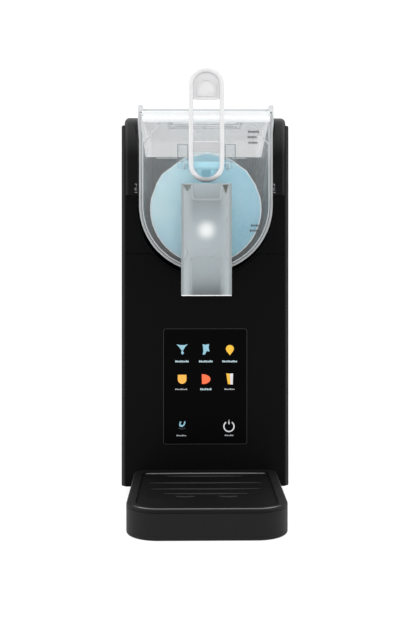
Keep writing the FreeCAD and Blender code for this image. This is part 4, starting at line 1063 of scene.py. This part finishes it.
def grate_ribs():
    """Raised lips along the front edges of the drain slots, and two small pointed marks, in a lighter black
    that paints their highlights.
    """
    lips = []
    for y, half in ((-96, 37), (-123, 53), (-146, 50), (-163, 38)):
        path = [(x * MM, (y - 2.6 + 2.2 * (x / half) ** 2) * MM) for x in range(-half, half + 1, 3)]
        lips.append(lip_strip(path))
    wing = -174 * MM
    point = -176.6 * MM
    for x in (-19, 19):
        lips.append(lip_strip([((x - 8) * MM, wing), (x * MM, point), ((x + 8) * MM, wing)]))
    add_piece("grate_lips", *joined(*lips), "grate", "tray_black", material=TRAY_LIP_HIGHLIGHT)


def grate_painted_highlights():
    """Painted highlight along the crest inside the rim's front, and a painted highlight along the floor's
    back edge.
    """
    inset = 3 * MM
    half = GRATE_HIGH.x - inset
    front = GRATE_LOW.y + inset
    corner = 25 * MM
    top = GRATE_HIGH.z
    path = arc(-half + corner, front + corner, corner, 212, 270, 8)
    path += arc(half - corner, front + corner, corner, 270, 328, 8)
    rings = []
    last = len(path) - 1
    for i, (x, y) in enumerate(path):
        tall = 0.55 * MM * min(1.0, 0.2 + 4 * min(i, last - i) / last)
        foot = top - 0.2 * MM
        rings.append([(x, y - 0.5 * MM, foot), (x, y, top + tall), (x, y + 0.5 * MM, foot)])
    back = GRATE_HIGH.y - 13 * MM
    reach = 58 * MM
    back_highlight = lip_strip([(x * reach, back) for x in (-1, -0.98, -0.6, -0.2, 0.2, 0.6, 0.98, 1)])
    add_piece("grate_painted_highlights", *joined(loft(rings), back_highlight), "grate", "tray_black", material=TRAY_HIGHLIGHT)


# Camera and studio

def camera():
    """Level view from the front, a little left of the middle and turned to face the body."""
    data = bpy.data.cameras.new("camera")
    data.lens = 53.66
    data.sensor_width = 36
    data.shift_y = -0.0833
    eye = bpy.data.objects.new("camera", data)
    bpy.context.collection.objects.link(eye)
    aside, distance, height, turn = -0.012, 0.920, 0.233, -0.92
    eye.location = (aside, FRONT - distance, height)
    eye.rotation_euler = (math.radians(90), 0, math.radians(turn))
    bpy.context.scene.camera = eye


def soft_light(name, place, target, size, power):
    data = bpy.data.lights.new(name, "AREA")
    data.shape = "RECTANGLE"
    data.size = size[0]
    data.size_y = size[1]
    data.energy = power
    lamp = bpy.data.objects.new(name, data)
    bpy.context.collection.objects.link(lamp)
    lamp.location = place
    lamp.rotation_euler = (Vector(target) - Vector(place)).to_track_quat("-Z", "Y").to_euler()


def sweep():
    """White floor that curves up into the backdrop, with an even light of its own."""
    material, shader, add, links = node_material("sweep_white")
    cloud = object_noise(add, links, 3, 2)
    tone = blend_colours(add, links, cloud.outputs["Fac"], (0.25, 0.25, 0.25), (0.27, 0.27, 0.27))
    links.new(tone, shader.inputs["Base Color"])
    shader.inputs["Roughness"].default_value = 0.9
    shader.inputs["Specular IOR Level"].default_value = 0.0
    shader.inputs["Emission Color"].default_value = (1, 1, 1, 1)
    shader.inputs["Emission Strength"].default_value = 0.78
    bend = 0.9
    radius = 0.5
    profile = [(-3.0, 0.0), (bend, 0.0)]
    profile += arc(bend, radius, radius, -80, 0, 8)
    profile += [(bend + radius, 3.0)]
    verts = [Vector((x, y, z)) for x in (-4, 4) for y, z in profile]
    count = len(profile)
    faces = [(i, i + 1, count + i + 1, count + i) for i in range(count - 1)]
    mesh = bpy.data.meshes.new("sweep")
    mesh.from_pydata([tuple(v) for v in verts], [], faces)
    mesh.shade_smooth()
    mesh.materials.append(material)
    backdrop = bpy.data.objects.new("sweep", mesh)
    bpy.context.collection.objects.link(backdrop)


def studio():
    """An even pale surround and three large soft lamps."""
    bpy.context.scene.view_settings.view_transform = "Standard"
    world = bpy.data.worlds.new("studio")
    bpy.context.scene.world = world
    world.use_nodes = True
    surround = world.node_tree.nodes["Background"]
    surround.inputs["Color"].default_value = (1, 1, 1, 1)
    surround.inputs["Strength"].default_value = 0.85
    middle = (0, 0, 0.2)
    soft_light("left_box", (-1.3, -0.5, 0.9), middle, (1.0, 1.4), 13)
    soft_light("right_box", (1.3, -0.5, 0.9), middle, (1.0, 1.4), 13)
    soft_light("top_box", (0, 0.1, 1.6), middle, (1.6, 1.2), 16)


finish_cad_nodes()
soften_casing()
soften_moving_parts()
slush_mass()
tank_shell()
tank_rim()
tank_lip()
tank_ribs()
level_marks()
lid_tab()
yoke_edges()
handle_ring()
handle_crank()
spout_shell()
spout_ribs()
spout_mouth()
panel_frame()
drink_symbols()
key_symbols()
lock_marks()
grate_ribs()
grate_painted_highlights()
camera()
sweep()
studio()
